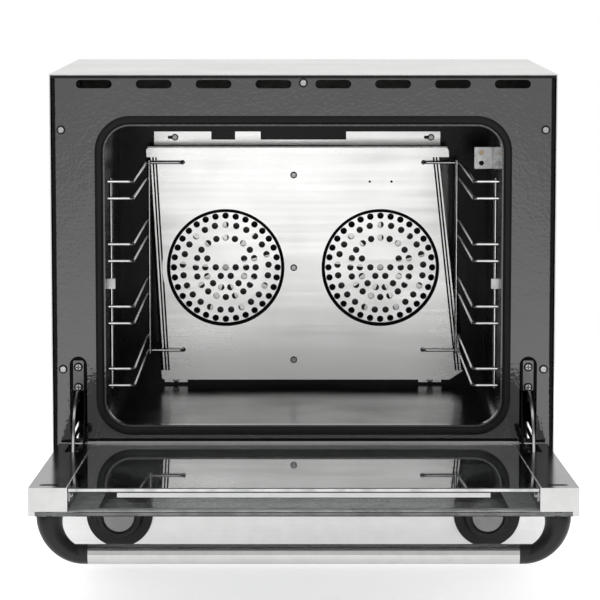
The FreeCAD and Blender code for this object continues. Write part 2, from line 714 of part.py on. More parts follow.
def make_front_panel():
    """An enamelled sheet whose sides are bent back round the casing's front edges."""
    piece = Piece("front_panel")
    inner_bend = "(front_bend - front_gauge)"
    profile = piece.outline("XY", FRONT_BOTTOM)
    turns = []
    for x_sign, radius, start in ((-1, "front_bend", 180), (1, "front_bend", 270),
                                  (1, inner_bend, 270), (-1, inner_bend, 180)):
        centre = f"{x_sign} * ({FRONT_HALF} - front_bend)"
        turns.append(profile.arc(centre, "front_bend", radius, start, start + 90))
    profile.join(turns[0], 2, turns[1], 1)
    profile.join(turns[3], 2, turns[2], 1)
    for outer, inner, outer_end, x_sign in ((turns[1], turns[2], 2, 1), (turns[0], turns[3], 1, -1)):
        x_out = f"{x_sign} * {FRONT_HALF}"
        x_in = f"{x_sign} * ({FRONT_HALF} - front_gauge)"
        rear_out = FreeCAD.Vector(value(x_out), value("flange_depth"), 0)
        rear_in = FreeCAD.Vector(value(x_in), value("flange_depth"), 0)
        sketch = profile.sketch
        lines = [sketch.addGeometry(Part.LineSegment(sketch.getPoint(outer, outer_end), rear_out)),
                 sketch.addGeometry(Part.LineSegment(rear_out, rear_in)),
                 sketch.addGeometry(Part.LineSegment(rear_in, sketch.getPoint(inner, outer_end)))]
        sketch.addConstraint(Sketcher.Constraint("Tangent", outer, outer_end, lines[0], 1))
        sketch.addConstraint(Sketcher.Constraint("Coincident", lines[0], 2, lines[1], 1))
        sketch.addConstraint(Sketcher.Constraint("Coincident", lines[1], 2, lines[2], 1))
        sketch.addConstraint(Sketcher.Constraint("Tangent", lines[2], 2, inner, outer_end))
        profile.tie("DistanceY", "flange_depth", -1, 1, lines[1], 1)
        profile.tie("DistanceY", "flange_depth", -1, 1, lines[1], 2)
    piece.pad(profile, f"{FRONT_TOP} - {FRONT_BOTTOM}")

    holes = piece.outline("XZ", "0")
    holes.rounded(*grown(MOUTH, "ring_wall + fit_gap"), "mouth_radius + ring_wall + fit_gap")
    for index in range(FRONT_VENTS):
        x = f"{index - (FRONT_VENTS - 1) / 2} * vent_pitch"
        holes.slot(x, "body_height - vent_drop", "vent_length", "vent_width")
    for _, sign in SIDES:
        middle = "(hinge_slot_top + hinge_slot_bottom) / 2"
        length = "hinge_slot_top - hinge_slot_bottom"
        holes.slot(f"{sign} * hinge_offset", middle, length, "hinge_slot_width", upright=True)
    for x, z in front_screw_places():
        holes.circle(x, z, "screw_hole")
    piece.pocket(holes, "front_gauge")
    place(piece.body)


def make_control_panel():
    piece = Piece("control_panel")
    face = piece.outline("XZ").rectangle(f"-{FRONT_HALF}", FRONT_HALF, "foot_height", "control_panel_top")
    for _, sign in SIDES:
        face.circle(f"{sign} * knob_offset", "knob_height", "stem_hole")
        face.circle(f"{sign} * lamp_offset", "lamp_height", "lamp_radius + fit_gap")
    piece.pad(face, "sheet_gauge")
    edge = piece.outline("XZ", "sheet_gauge")
    edge.rectangle(f"-{FRONT_HALF}", FRONT_HALF, "control_panel_top - sheet_gauge", "control_panel_top")
    piece.pad(edge, "flange_depth - sheet_gauge")
    place(piece.body)


# Chamber

def make_mouth_ring():
    piece = Piece("mouth_ring")
    ring = piece.outline("XZ", "-ring_proud")
    ring.rounded(*grown(MOUTH, "ring_wall"), "mouth_radius + ring_wall")
    ring.rounded(*MOUTH, "mouth_radius")
    piece.pad(ring, "ring_proud + ring_depth")
    place(piece.body)


def make_gasket():
    piece = Piece("door_gasket")
    inner = "ring_wall + fit_gap"
    outer = "ring_wall + fit_gap + gasket_width"
    bead = piece.outline("XZ")
    bead.rounded(*grown(MOUTH, outer), f"mouth_radius + {outer}")
    bead.rounded(*grown(MOUTH, inner), f"mouth_radius + {inner}")
    piece.pad(bead, "gasket_height", False)
    front = -value("gasket_height")
    piece.fillet(lambda edge: abs(edge.BoundBox.YMax - front) < 1e-6, "gasket_round")
    place(piece.body)


def make_chamber_liner():
    piece = Piece("chamber_liner")
    start = "front_gauge"
    outside = piece.outline("XZ", start)
    outside.rounded(*grown(CHAMBER, "chamber_gauge"), "chamber_radius + chamber_gauge")
    piece.pad(outside, f"{LINER_BACK} - {start}")
    piece.pocket(piece.outline("XZ", start).rounded(*CHAMBER, "chamber_radius"), f"chamber_depth - {start}")
    back = piece.outline("XZ", "chamber_depth")
    for _, sign in SIDES:
        axis = f"{sign} * fan_spacing / 2"
        back.circle(axis, "fan_height", "shaft_hole")
        for leg in (-1, 1):
            x, z = element_leg(leg)
            back.circle(f"{axis} + {x}", f"fan_height + {z}", "element_radius + element_fit")
    piece.pocket(back, "chamber_gauge")
    place(piece.body)


def make_insulation():
    piece = Piece("insulation_wrap")
    inside = "chamber_gauge + wool_gap"
    outside = "chamber_gauge + wool_gap + wool_thickness"
    start = "(front_gauge + ring_depth)"
    back = f"({LINER_BACK} + wool_gap)"
    wrap = piece.outline("XZ", start).rounded(*grown(CHAMBER, outside), f"chamber_radius + {outside}")
    piece.pad(wrap, f"{back} + wool_thickness - {start}")
    hollow = piece.outline("XZ", start).rounded(*grown(CHAMBER, inside), f"chamber_radius + {inside}")
    piece.pocket(hollow, f"{back} - {start}")
    rounds = piece.outline("XZ", back)
    for _, sign in SIDES:
        rounds.circle(f"{sign} * fan_spacing / 2", "fan_height",
                      "element_circle + element_radius + wool_clearance")
    piece.pocket(rounds, "wool_thickness")
    place(piece.body)


# Baffle and fans

def left_edge(z):
    """The baffle's left edge, which leans right going down."""
    slope = "(baffle_left_top - baffle_left_foot) / (baffle_top - baffle_bottom)"
    return f"-(baffle_left_foot + {slope} * (({z}) - baffle_bottom))"


def right_edge(z):
    slope = "(baffle_right_top - baffle_right_foot) / (baffle_top - baffle_bottom)"
    return f"(baffle_right_foot + {slope} * (({z}) - baffle_bottom))"


def baffle_screw_places():
    for step in (-1, 0, 1):
        yield "-baffle_screw_offset", BAFFLE_Y, f"fan_height + {step} * baffle_screw_pitch"
    for _, sign in SIDES:
        x = f"{sign} * tab_screw_span / 2"
        yield x, TAB_Y, "baffle_top + tab_screw_rise"
        yield x, TAB_Y, "baffle_bottom - tab_foot / 2"


def hook_heights():
    return "rail_top", f"rail_top - {TRAYS - 1} * rail_pitch - rail_drop"


def make_baffle():
    """A pressed sheet pan in front of the back wall, with guard openings and slanted air slits."""
    piece = Piece("fan_baffle")
    face = piece.outline("XZ", BAFFLE_Y)
    cut_low = "baffle_right_foot - baffle_cut_width"
    cut_high = "baffle_bottom + baffle_cut_height"
    corners = [("-baffle_left_top", "baffle_top"), ("-baffle_left_foot", "baffle_bottom"),
               (cut_low, "baffle_bottom"), (right_edge(cut_high), cut_high),
               ("baffle_right_top", "baffle_top")]
    face.polygon(corners)
    for _, sign in SIDES:
        face.circle(f"{sign} * fan_spacing / 2", "fan_height", "guard_opening")
        for height in hook_heights():
            face.circle(f"{sign} * hook_span / 2", height, "hook_hole")
    for x, y, z in baffle_screw_places():
        if y == BAFFLE_Y:
            face.circle(x, z, "screw_hole")
    for sign in (-1, 1):
        x = f"fan_spacing / 2 + {sign} * sensor_hole_span / 2"
        face.circle(x, "fan_height + sensor_hole_rise", "sensor_hole_radius")
    piece.pad(face, "baffle_gauge")
    spots = [(value(x), value(z)) for x, z in corners]

    def at_corner(edge):
        box = edge.BoundBox
        spread = box.XLength + box.ZLength
        return any(math.hypot(box.XMin - x, box.ZMin - z) + spread < 1e-6 for x, z in spots)

    piece.fillet(at_corner, "baffle_corner")

    walls = piece.outline("XZ", BAFFLE_BACK)
    walls.rectangle("-baffle_left_top + wall_inset", "baffle_right_top - wall_inset",
                    "baffle_top - baffle_gauge", "baffle_top")
    walls.rectangle("-baffle_left_foot + wall_inset", f"{cut_low} - wall_inset",
                    "baffle_bottom", "baffle_bottom + baffle_gauge")
    piece.pad(walls, "baffle_setback - baffle_gauge")

    left = "-baffle_left_top + wall_inset"
    right = "baffle_right_top - wall_inset"
    low = "baffle_top"
    strip = "baffle_top + strip_height"
    tab = "baffle_top + tab_height"
    first_tab = f"{left} + tab_left_length"
    flange = piece.outline("XZ", TAB_Y)
    flange.polygon([(left, low), (right, low), (right, tab), ("tab_right_start", tab),
                    ("tab_right_start", strip), ("-tab_middle_end", strip), ("-tab_middle_end", tab),
                    ("-tab_middle_start", tab), ("-tab_middle_start", strip), (first_tab, strip),
                    (first_tab, tab), (left, tab)])
    for x, y, z in baffle_screw_places():
        if y == TAB_Y and "baffle_top" in z:
            flange.slot(f"{x} - keyhole_reach / 2", z, "keyhole_reach + 2 * screw_hole", "2 * screw_hole")
        elif y == TAB_Y:
            flange.circle(x, z, "screw_hole")
    for _, sign in SIDES:
        x = f"{sign} * tab_screw_span / 2"
        flange.rectangle(f"{x} - tab_foot_width / 2", f"{x} + tab_foot_width / 2",
                         "baffle_bottom - tab_foot", "baffle_bottom")
    piece.pad(flange, "baffle_gauge")

    add_louvres(piece)
    place(piece.body)


def add_louvres(piece):
    """Along each side: a slit with a rib in its middle, and outside it a wing bent back to the edge."""
    top = "(baffle_top - slit_margin)"
    foot = "(baffle_bottom + slit_margin)"
    half_slit = "(slit_width - slit_rib) / 2"
    sides = ((left_edge, 1, "slit_left_inset_top", "slit_left_inset_foot"),
             (right_edge, -1, "slit_right_inset_top", "slit_right_inset_foot"))
    cuts = piece.outline("XZ", BAFFLE_Y)
    for edge, inward, inset_top, inset_foot in sides:
        def across(height, inset, back):
            """A place on the face, counted outwards from the slit's inner line."""
            return f"{edge(height)} + {inward} * ({inset} - ({back}))"

        for start, width in (("0", half_slit), (f"{half_slit} + slit_rib", half_slit)):
            cuts.polygon([(across(top, inset_top, start), top), (across(foot, inset_foot, start), foot),
                          (across(foot, inset_foot, f"{start} + {width}"), foot),
                          (across(top, inset_top, f"{start} + {width}"), top)])
        fold = "slit_width + wing_flat"
        out = f"{inward} * baffle_corner"
        cuts.polygon([(across(top, inset_top, fold), top), (across(foot, inset_foot, fold), foot),
                      (f"{edge(foot)} - {out}", foot), (f"{edge(top)} - {out}", top)])
    piece.pocket(cuts, "baffle_gauge")
    for edge, inward, inset_top, inset_foot in sides:
        sections = []
        for height, inset, share in ((f"{foot} + wing_relief", inset_foot, "wing_relief"),
                                     (f"{top} - wing_relief", inset_top, "-wing_relief")):
            lean = f"({inset_top} - {inset_foot}) / ({top} - {foot}) * {share}"
            fold = f"{edge(height)} + {inward} * ({inset} + {lean} - slit_width - wing_flat)"
            section = piece.outline("XY", height)
            section.polygon([(fold, BAFFLE_Y), (edge(height), f"{BAFFLE_Y} + wing_depth"),
                             (edge(height), f"{BAFFLE_BACK} + wing_depth"), (fold, BAFFLE_BACK)])
            sections.append(section)
        piece.loft(*sections)


def make_baffle_screws():
    places = [(x, f"{FRONT_Y} + {y}", z) for x, y, z in baffle_screw_places()]
    screws("baffle_screws", "Y", places, -1, "screw_radius", "baffle_gauge")


def make_baffle_spacers():
    members = []
    for index, (x, y, z) in enumerate(baffle_screw_places(), start=1):
        if y == BAFFLE_Y:
            start = f"{FRONT_Y} + {BAFFLE_BACK}"
            length = "baffle_setback - baffle_gauge"
            members.append(rod(f"baffle_spacer_{index}", "Y", x, start, z, "spacer_radius", length))
    group("baffle_spacers", members)


def place_on_fan(piece, sign):
    """Fan pieces are drawn about their axis, from the baffle's face backwards."""
    place(piece.body, f"{sign} * fan_spacing / 2", f"{FRONT_Y} + {BAFFLE_Y}", "fan_height")


def make_fan_guards():
    """Dished sheets with rings of perforations. The two inner rings are open at their upper side."""
    rings = (("ring_one", 0, 180, 4), ("ring_two", 25.7, 231.4, 10), ("ring_three", 90, 360, 20),
             ("ring_four", 90, 360, 25), ("ring_five", 90, 360, 32))
    piece = Piece("left_fan_guard")
    dish = piece.outline("XY")
    rim = "guard_opening + guard_flange"
    dish.polygon([("0", "guard_recess"), ("guard_radius", "guard_recess"),
                  ("guard_opening", "baffle_gauge"), (rim, "baffle_gauge"),
                  (rim, "baffle_gauge + guard_gauge"), ("guard_opening", "baffle_gauge + guard_gauge"),
                  ("guard_radius", "guard_recess + guard_gauge"), ("0", "guard_recess + guard_gauge")])
    piece.revolve(dish)
    holes = [("0", "0", None)]
    for ring, first, sweep, count in rings:
        holes.append((f"{ring} * cos({first})", f"{ring} * sin({first})", (sweep, count)))
    for x, z, spread in holes:
        hole = piece.pocket(piece.outline("XZ", "guard_recess").circle(x, z, "hole_radius"), "guard_gauge")
        if spread:
            piece.turn(hole, "Y_Axis", *spread)
    place_on_fan(piece, -1)
    place_on_fan(piece.twin("right_fan_guard"), 1)


def make_fan_wheels():
    for side, sign in SIDES:
        piece = Piece(f"{side}_fan_wheel")
        piece.pad(piece.outline("XZ", "fan_plate").circle("0", "0", "fan_radius"), "fan_gauge")
        blade = piece.outline("XZ", "fan_plate - blade_height")
        tip = "fan_radius - blade_inset"
        blade.polygon([("blade_root", "0"), (tip, "blade_lean"), (tip, "blade_lean + fan_gauge"),
                       ("blade_root", "fan_gauge")])
        first = piece.pad(blade, "blade_height")
        piece.turn(first, "Y_Axis", 360, BLADES)
        hub = piece.outline("XZ", "fan_plate + fan_gauge").circle("0", "0", "hub_radius")
        piece.pad(hub, "hub_length", False)
        bore = piece.outline("XZ", "fan_plate + fan_gauge").circle("0", "0", "shaft_radius + running_fit")
        piece.pocket(bore, "hub_length", False)
        place_on_fan(piece, sign)


def make_fan_shafts():
    start = f"({BAFFLE_Y} + fan_plate + fan_gauge - hub_length)"
    for side, sign in SIDES:
        length = f"{MOTOR_Y} - motor_nose + shaft_insert - {start}"
        item = rod(f"{side}_fan_shaft", "Y", f"{sign} * fan_spacing / 2", f"{FRONT_Y} + {start}",
                   "fan_height", "shaft_radius", length)
        subparts.append(item)


def make_fan_motors():
    for side, sign in SIDES:
        piece = Piece(f"{side}_fan_motor")
        front = f"({MOTOR_Y} - motor_nose)"
        can = f"({MOTOR_Y} + motor_flange_gauge)"
        rear = f"({can} + motor_length)"
        cap = f"({rear} + motor_nose)"
        bore = "shaft_radius + running_fit"
        bore_end = f"({front} + shaft_insert + running_fit)"
        half = piece.outline("XY")
        half.polygon([(bore, front), ("motor_nose_radius", front), ("motor_nose_radius", MOTOR_Y),
                      ("motor_flange", MOTOR_Y), ("motor_flange", can), ("motor_radius", can),
                      ("motor_radius", rear), ("motor_nose_radius", rear), ("motor_nose_radius", cap),
                      ("0", cap), ("0", bore_end), (bore, bore_end)])
        piece.revolve(half)
        place(piece.body, f"{sign} * fan_spacing / 2", FRONT_Y, "fan_height")


def make_motor_standoffs():
    members = []
    for side, sign in SIDES:
        for angle in (90, 210, 330):
            x = f"{sign} * fan_spacing / 2 + standoff_circle * cos({angle})"
            z = f"fan_height + standoff_circle * sin({angle})"
            name = f"{side}_motor_standoff_{angle}"
            members.append(rod(name, "Y", x, f"{FRONT_Y} + {LINER_BACK}", z, "standoff_radius", "motor_gap"))
    group("motor_standoffs", members)


def element_leg(leg):
    """Where a leg of the heating ring passes the back wall, from the fan axis."""
    sine = "element_gap / element_circle"
    cosine = f"sqrt(1 - ({sine}) ^ 2)"
    x = f"{leg} * (element_gap - element_bend * {cosine})"
    z = f"(-element_circle * {cosine} - element_bend * {sine})"
    return x, z


def make_heating_elements():
    circle = value("element_circle")
    turn = value("element_bend")
    plane = value(f"{BAFFLE_Y} + element_setback")
    tail = value(f"{LINER_BACK} + element_tail")
    angle = math.asin(value("element_gap") / circle)
    back = FreeCAD.Vector(0, 1, 0)
    for side, sign in SIDES:
        axis = FreeCAD.Vector(sign * value("fan_spacing / 2"), plane, value("fan_height"))
        ends = []
        for leg in (1, -1):
            ring_end = axis + FreeCAD.Vector(leg * math.sin(angle), 0, -math.cos(angle)) * circle
            along = FreeCAD.Vector(-leg * math.cos(angle), 0, -math.sin(angle))
            ahead = turn * math.sin(math.pi / 4)
            middle = ring_end + along * ahead + back * (turn - ahead)
            leg_start = ring_end + along * turn + back * turn
            leg_end = FreeCAD.Vector(leg_start.x, tail, leg_start.z)
            ends.append((ring_end, middle, leg_start, leg_end))
        first, last = ends
        top = axis + FreeCAD.Vector(0, 0, circle)
        edges = [Part.LineSegment(first[3], first[2]), Part.Arc(first[2], first[1], first[0]),
                 Part.Arc(first[0], axis + FreeCAD.Vector(circle, 0, 0), top),
                 Part.Arc(top, axis - FreeCAD.Vector(circle, 0, 0), last[0]),
                 Part.Arc(last[0], last[1], last[2]), Part.LineSegment(last[2], last[3])]
        path = Part.Wire([edge.toShape() for edge in edges])
        item = shaped(f"{side}_heating_element", tube_along(path, value("element_radius")))
        place(item)


# Shelf rails and thermostat bulb

def make_shelf_rails():
    """Welded wire frames: a front and a rear upright, and two wires for each tray position."""
    wire = value("wire_radius")
    bend = value("wire_bend")
    weld = 2 * wire + value("weld_gap")
    tray_x = value("rail_span / 2")
    wall_x = value("rail_wall_span / 2")
    hook_x = value("hook_span / 2")
    overshoot = value("rail_overshoot")
    front = value("rail_front")
    rear = value(f"{BAFFLE_Y} - rail_rear_gap")
    hooks = [value(height) for height in hook_heights()]
    heights = []
    for tray in range(TRAYS):
        upper = value(f"rail_top - {tray} * rail_pitch")
        heights += [upper, upper - value("rail_drop")]
    for side, sign in SIDES:
        def at(x, y, z):
            return FreeCAD.Vector(sign * x, y, z)
        solids = []
        for height in heights:
            points = [at(wall_x + overshoot, front - weld, height), at(tray_x, front - weld, height)]
            if height in hooks:
                points += [at(tray_x, rear + weld, height), at(hook_x, rear + weld, height),
                           at(hook_x, value(f"{BAFFLE_Y} + hook_insert"), height)]
            else:
                points += [at(tray_x, rear + overshoot, height)]
            solids.append(tube_along(bent_wire(points, bend), wire))
        low = min(heights) - overshoot
        length = max(heights) + overshoot - low
        up = FreeCAD.Vector(0, 0, 1)
        solids.append(Part.makeCylinder(wire, length, at(wall_x, front, low), up))
        solids.append(Part.makeCylinder(wire, length, at(tray_x - weld, rear, low), up))
        place(shaped(f"{side}_shelf_rail", Part.makeCompound(solids)))


def make_rail_clips():
    members = []
    for side, sign in SIDES:
        reach = "(chamber_width / 2 - rail_wall_span / 2 + wire_radius + clip_wall)"
        x = f"{sign} * chamber_width / 2" + (f" - {reach}" if sign > 0 else "")
        depth = "(2 * (wire_radius + clip_wall))"
        middle = f"(rail_top - {TRAYS - 1} * rail_pitch / 2 - rail_drop / 2 - clip_height / 2)"
        body = block(f"{side}_clip_body", x, f"{FRONT_Y} + rail_front - {depth} / 2 + wire_radius / 2",
                     middle, reach, f"{depth} - wire_radius", "clip_height")
        bore = rod(f"{side}_clip_bore", "Z", f"{sign} * rail_wall_span / 2", f"{FRONT_Y} + rail_front",
                   middle, "wire_radius + clip_fit", "clip_height")
        members.append(cut(f"{side}_rail_clip", body, bore))
    group("rail_clips", members)


def make_bulb():
    piece = Piece("bulb_bracket")
    wall = "chamber_width / 2"
    low = "bulb_height - bulb_bracket_height / 2"
    high = "bulb_height + bulb_bracket_height / 2"
    plate = piece.outline("XZ", "bulb_setback").rectangle(f"{wall} - bulb_bracket_width", wall, low, high)
    for sign in (-1, 1):
        plate.circle(f"{wall} - bulb_inset", f"bulb_height + {sign} * bulb_pitch / 2",
                     "bulb_radius + fit_gap")
    piece.pad(plate, "chamber_gauge")
    foot = piece.outline("XZ", "bulb_setback + chamber_gauge")
    foot.rectangle(f"{wall} - chamber_gauge", wall, low, high)
    piece.pad(foot, "bulb_foot")
    place(piece.body)
    bulb = rod("thermostat_bulb", "Y", f"{wall} - bulb_inset", f"{FRONT_Y} + bulb_setback - bulb_radius",
               "bulb_height + bulb_pitch / 2", "bulb_radius", "bulb_length")
    subparts.append(bulb)


# Hinges

EYE_ANGLES = (154, -45)


def make_hinge_brackets():
    """A channel behind each slot. Its cheeks reach through the slot to the hinge pin."""
    for side, sign in SIDES:
        piece = Piece(f"{side}_hinge_bracket")
        axis = f"{sign} * hinge_offset"
        half = "(cheek_span / 2 + cheek_gauge)"
        back = "(front_gauge + cheek_gauge)"
        low = "(hinge_slot_bottom + hinge_slot_width / 2)"
        high = "(hinge_slot_top + cheek_gauge)"
        plate = piece.outline("XZ", "front_gauge")
        plate.rectangle(f"{axis} - bracket_plate_width / 2", f"{axis} + bracket_plate_width / 2",
                        "bracket_plate_bottom", high)
        for height in ("hinge_screw_upper", "hinge_screw_lower"):
            plate.circle(axis, height, "screw_hole")
        piece.pad(plate, "cheek_gauge")
        pad = piece.outline("XZ", "front_gauge")
        pad.rectangle(f"{axis} - pad_width / 2", f"{axis} + pad_width / 2", "bracket_plate_bottom",
                      "hinge_slot_top - pad_drop")
        for height in ("hinge_screw_upper", "hinge_screw_lower"):
            pad.circle(axis, height, "screw_hole")
        piece.pad(pad, "pad_proud", False)
        web = piece.outline("XZ", "bracket_depth")
        web.rectangle(f"{axis} - {half}", f"{axis} + {half}", low, high)
        piece.pad(web, "cheek_gauge")
        for start in (f"{axis} - {half}", f"{axis} + cheek_span / 2"):
            cheek = piece.outline("YZ", start)
            corners = [("front_gauge", low), ("bracket_depth", low), ("bracket_depth", high), (back, high),
                       (back, "bracket_plate_bottom"), ("front_gauge", "bracket_plate_bottom"),
                       ("front_gauge", f"{low} + 3 * eye_radius")]
            for angle in EYE_ANGLES:
                corners.append((f"eye_radius * cos({angle}) - pivot_forward",
                                f"eye_radius * sin({angle}) + pivot_height"))
            cheek.polygon(corners)
            piece.pad(cheek, "cheek_gauge")
            eye = piece.outline("YZ", start).circle("-pivot_forward", "pivot_height", "eye_radius")
            piece.pad(eye, "cheek_gauge")
        hole = piece.outline("YZ", f"{axis} - {half}").circle("-pivot_forward", "pivot_height",
                                                              "pin_radius + running_fit")
        piece.pocket(hole, f"2 * {half}")
        place(piece.body)


def make_front_screws():
    places = [(x, FRONT_Y, z) for x, z in front_screw_places()]
    for _, sign in SIDES:
        for height in ("hinge_screw_upper", "hinge_screw_lower"):
            places.append((f"{sign} * hinge_offset", f"{FRONT_Y} + front_gauge - pad_proud", height))
    screws("front_screws", "Y", places, -1, "front_screw_radius", "front_gauge")


def polar(radius, angle):
    """A point of the hinge arm: angle from the door's line towards its inside."""
    return f"-({radius}) * cos({angle})", f"({radius}) * sin({angle})"


def sector(outline, inner, outer, first, last):
    """A band of the hinge arm's curve between two radii and two angles."""
    start = 180 - value(last)
    end = 180 - value(first)
    arcs = [outline.arc("0", "0", inner, start, end), outline.arc("0", "0", outer, start, end)]
    sketch = outline.sketch
    for position, angle in ((1, last), (2, first)):
        points = [sketch.getPoint(arc, position) for arc in arcs]
        line = sketch.addGeometry(Part.LineSegment(*points))
        for arc, end_position, radius in ((arcs[0], 1, inner), (arcs[1], 2, outer)):
            sketch.addConstraint(Sketcher.Constraint("Coincident", arc, position, line, end_position))
            steep = abs(math.sin(math.radians(value(angle)))) > 0.5
            axis = 0 if steep else 1
            outline.tie(("DistanceX", "DistanceY")[axis], polar(radius, angle)[axis], -1, 1, arc, position)
    return outline


STOP_OUT = "(pivot_forward + front_gauge + cheek_gauge + seat_gap)"
STOP_UP = "(bracket_plate_bottom - pivot_height)"
HEAD_START = f"(90 + atan({STOP_OUT} / {STOP_UP}) / 1 deg - door_rest_tilt)"
ARM_SWEEP = f"({HEAD_START} + head_angle)"


def make_hinge_arms():
    """Notched quadrants fixed in the stiles. Open, their heads stop behind the brackets' plates."""
    inner = "(arm_radius - arm_width / 2)"
    outer = "(arm_radius + arm_width / 2)"
    for side, sign in SIDES:
        piece = Piece(f"{side}_hinge_arm")
        start = f"{sign} * hinge_offset - arm_gauge / 2"
        bar = piece.outline("YZ", start)
        bar.slot("-arm_radius / 2", "0", "arm_radius + arm_bar_width", "arm_bar_width")
        piece.pad(bar, "arm_gauge")
        curve = sector(piece.outline("YZ", start), inner, outer, "0", ARM_SWEEP)
        piece.pad(curve, "arm_gauge")
        head = sector(piece.outline("YZ", start), inner, f"{outer} + head_height", HEAD_START, ARM_SWEEP)
        piece.pad(head, "arm_gauge")
        for reach, radius in (("0", "pin_radius"), ("rivet_reach", "rivet_radius")):
            hole = piece.outline("YZ", start).circle(f"-({reach})", "0", f"{radius} + running_fit")
            piece.pocket(hole, "arm_gauge")
        notch = piece.outline("YZ", start).circle(*polar(inner, f"{ARM_SWEEP} * 3 / 4"), "notch_radius")
        first = piece.pocket(notch, "arm_gauge")
        piece.turn(first, "X_Axis", value(f"{ARM_SWEEP} / 2"), NOTCHES)
        place_on_door(piece.body)


def make_hinge_pins():
    members = []
    for side, sign in SIDES:
        near = STILE_IN if sign > 0 else f"-{STILE_BOX}"
        span = f"{STILE_BOX} - {STILE_IN}"
        members.append(rod(f"{side}_hinge_pin", "X", near, "0", "0", "pin_radius", span))
        inside = f"{near} + stile_gauge"
        span = f"{STILE_BOX} - {STILE_IN} - 2 * stile_gauge"
        members.append(rod(f"{side}_arm_rivet", "X", inside, "-rivet_reach", "0", "rivet_radius", span))
    place_on_door(group("hinge_pins", members))


# Door

def make_stiles():
    """Folded hollow stiles: a box for the hinge and a deeper outer flange beside the outer glass."""
    for side, sign in SIDES:
        piece = Piece(f"{side}_door_stile")

        def across(inner, outer):
            return (inner, outer) if sign > 0 else (f"-({outer})", f"-({inner})")

        edge = "door_width / 2"
        corners = [(STILE_IN, GLASS_SEAT), (STILE_BOX, GLASS_SEAT), (STILE_BOX, OUTER_FACE),
                   (edge, OUTER_FACE), (edge, INNER_FACE), (STILE_IN, INNER_FACE)]
        section = piece.outline("XZ", "-door_reach")
        section.polygon([(f"{sign} * ({x})", z) for x, z in corners])
        piece.pad(section, "door_reach + door_heel")
        hollow = piece.outline("XZ", "door_heel")
        hollow.rectangle(*across(f"{STILE_IN} + stile_gauge", f"{STILE_BOX} - stile_gauge"),
                         f"{GLASS_SEAT} + stile_gauge", f"{INNER_FACE} - stile_gauge")
        hollow.rectangle(*across(f"{STILE_BOX} + stile_gauge", f"{edge} - stile_gauge"),
                         f"{OUTER_FACE} + stile_gauge", f"{INNER_FACE} - stile_gauge")
        piece.pocket(hollow, "door_reach + door_heel - stile_gauge", False)
        axis = f"{sign} * hinge_offset"
        openings = piece.outline("XY", INNER_FACE)
        openings.rectangle(f"{axis} - stile_slot / 2", f"{axis} + stile_slot / 2", "-stile_slot_reach",
                           "door_heel")
        bolt_x = f"{sign} * elbow_offset"
        openings.slot(bolt_x, f"-{HANDLE_S}", "access_length", "access_width")
        piece.pocket(openings, "stile_gauge", False)
        bolt = piece.outline("XY", GLASS_SEAT).circle(bolt_x, f"-{HANDLE_S}", "bolt_radius + bolt_fit")
        piece.pocket(bolt, "stile_gauge")
        near = across(STILE_IN, STILE_BOX)[0]
        pin = piece.outline("YZ", near).circle("0", "0", "pin_radius + running_fit")
        piece.pocket(pin, f"{STILE_BOX} - {STILE_IN}")
        place_on_door(piece.body)


def make_door_glass():
    inner = Piece("inner_glass")
    pane = inner.outline("XY", f"{INNER_FACE} - glass_thickness")
    pane.rectangle(f"-{STILE_IN} + glass_gap", f"{STILE_IN} - glass_gap", "-door_reach + glass_edge",
                   "door_heel - heel_depth - glass_gap")
    inner.pad(pane, "glass_thickness")
    place_on_door(inner.body)

    outer = Piece("outer_glass")
    pane = outer.outline("XY", OUTER_FACE)
    pane.rectangle(f"-{STILE_BOX} + glass_gap", f"{STILE_BOX} - glass_gap", "-door_reach", "door_heel")
    for _, sign in SIDES:
        pane.circle(f"{sign} * elbow_offset", f"-{HANDLE_S}", "bolt_radius + bolt_fit")
    outer.pad(pane, "glass_thickness")
    place_on_door(outer.body)


def make_heel_rail():
    """A folded rail between the stiles at the hinge end, with a lip across the whole door."""
    piece = Piece("heel_rail")
    tube = piece.outline("YZ", f"-{STILE_IN} + glass_gap")
    start = "door_heel - heel_depth"
    tube.rectangle(start, "door_heel", GLASS_SEAT, INNER_FACE)
    tube.rectangle(f"{start} + heel_gauge", "door_heel - heel_gauge", f"{GLASS_SEAT} + heel_gauge",
                   f"{INNER_FACE} - heel_gauge")
    piece.pad(tube, f"2 * ({STILE_IN} - glass_gap)")
    lip = piece.outline("XZ", "door_heel")
    half = "(hinge_offset - heel_notch / 2)"
    lip.rectangle(f"-{half}", half, f"{INNER_FACE} - heel_lip_depth", f"{INNER_FACE} + heel_lip")
    piece.pad(lip, "heel_gauge")
    place_on_door(piece.body)


def make_retainer():
    piece = Piece("glass_retainer")
    bar = piece.outline("XY", f"{INNER_FACE} - glass_thickness - seat_gap")
    bar.rectangle("-retainer_span / 2", "retainer_span / 2", "-door_reach + glass_edge",
                  "-door_reach + glass_edge + retainer_depth")
    piece.pad(bar, "retainer_height", False)
    place_on_door(piece.body)


def clip_places():
    for side, sign in SIDES:
        for reach in ("clip_first", "clip_last"):
            yield side, sign, reach


def make_glass_clips():
    members = []
    seat = f"({INNER_FACE} - glass_thickness)"
    for side, sign, reach in clip_places():
        name = f"{side}_{reach}"
        start = f"-({reach}) - clip_length / 2"
        leg_x = f"{STILE_IN} - clip_leg" if sign > 0 else f"-{STILE_IN}"
        wall_x = f"{STILE_IN} - stile_gauge" if sign > 0 else f"-{STILE_IN}"
        ledge = block(f"{name}_ledge", leg_x, start, f"{seat} - stile_gauge", "clip_leg", "clip_length",
                      "stile_gauge")
        wall = block(f"{name}_wall", wall_x, start, f"{seat} - clip_drop", "stile_gauge", "clip_length",
                     "clip_drop")
        members.append(fused(f"{name}_clip", ledge, wall))
    place_on_door(group("glass_clips", members))


# Handle

TUBE_Z = f"({OUTER_FACE} - handle_drop)"


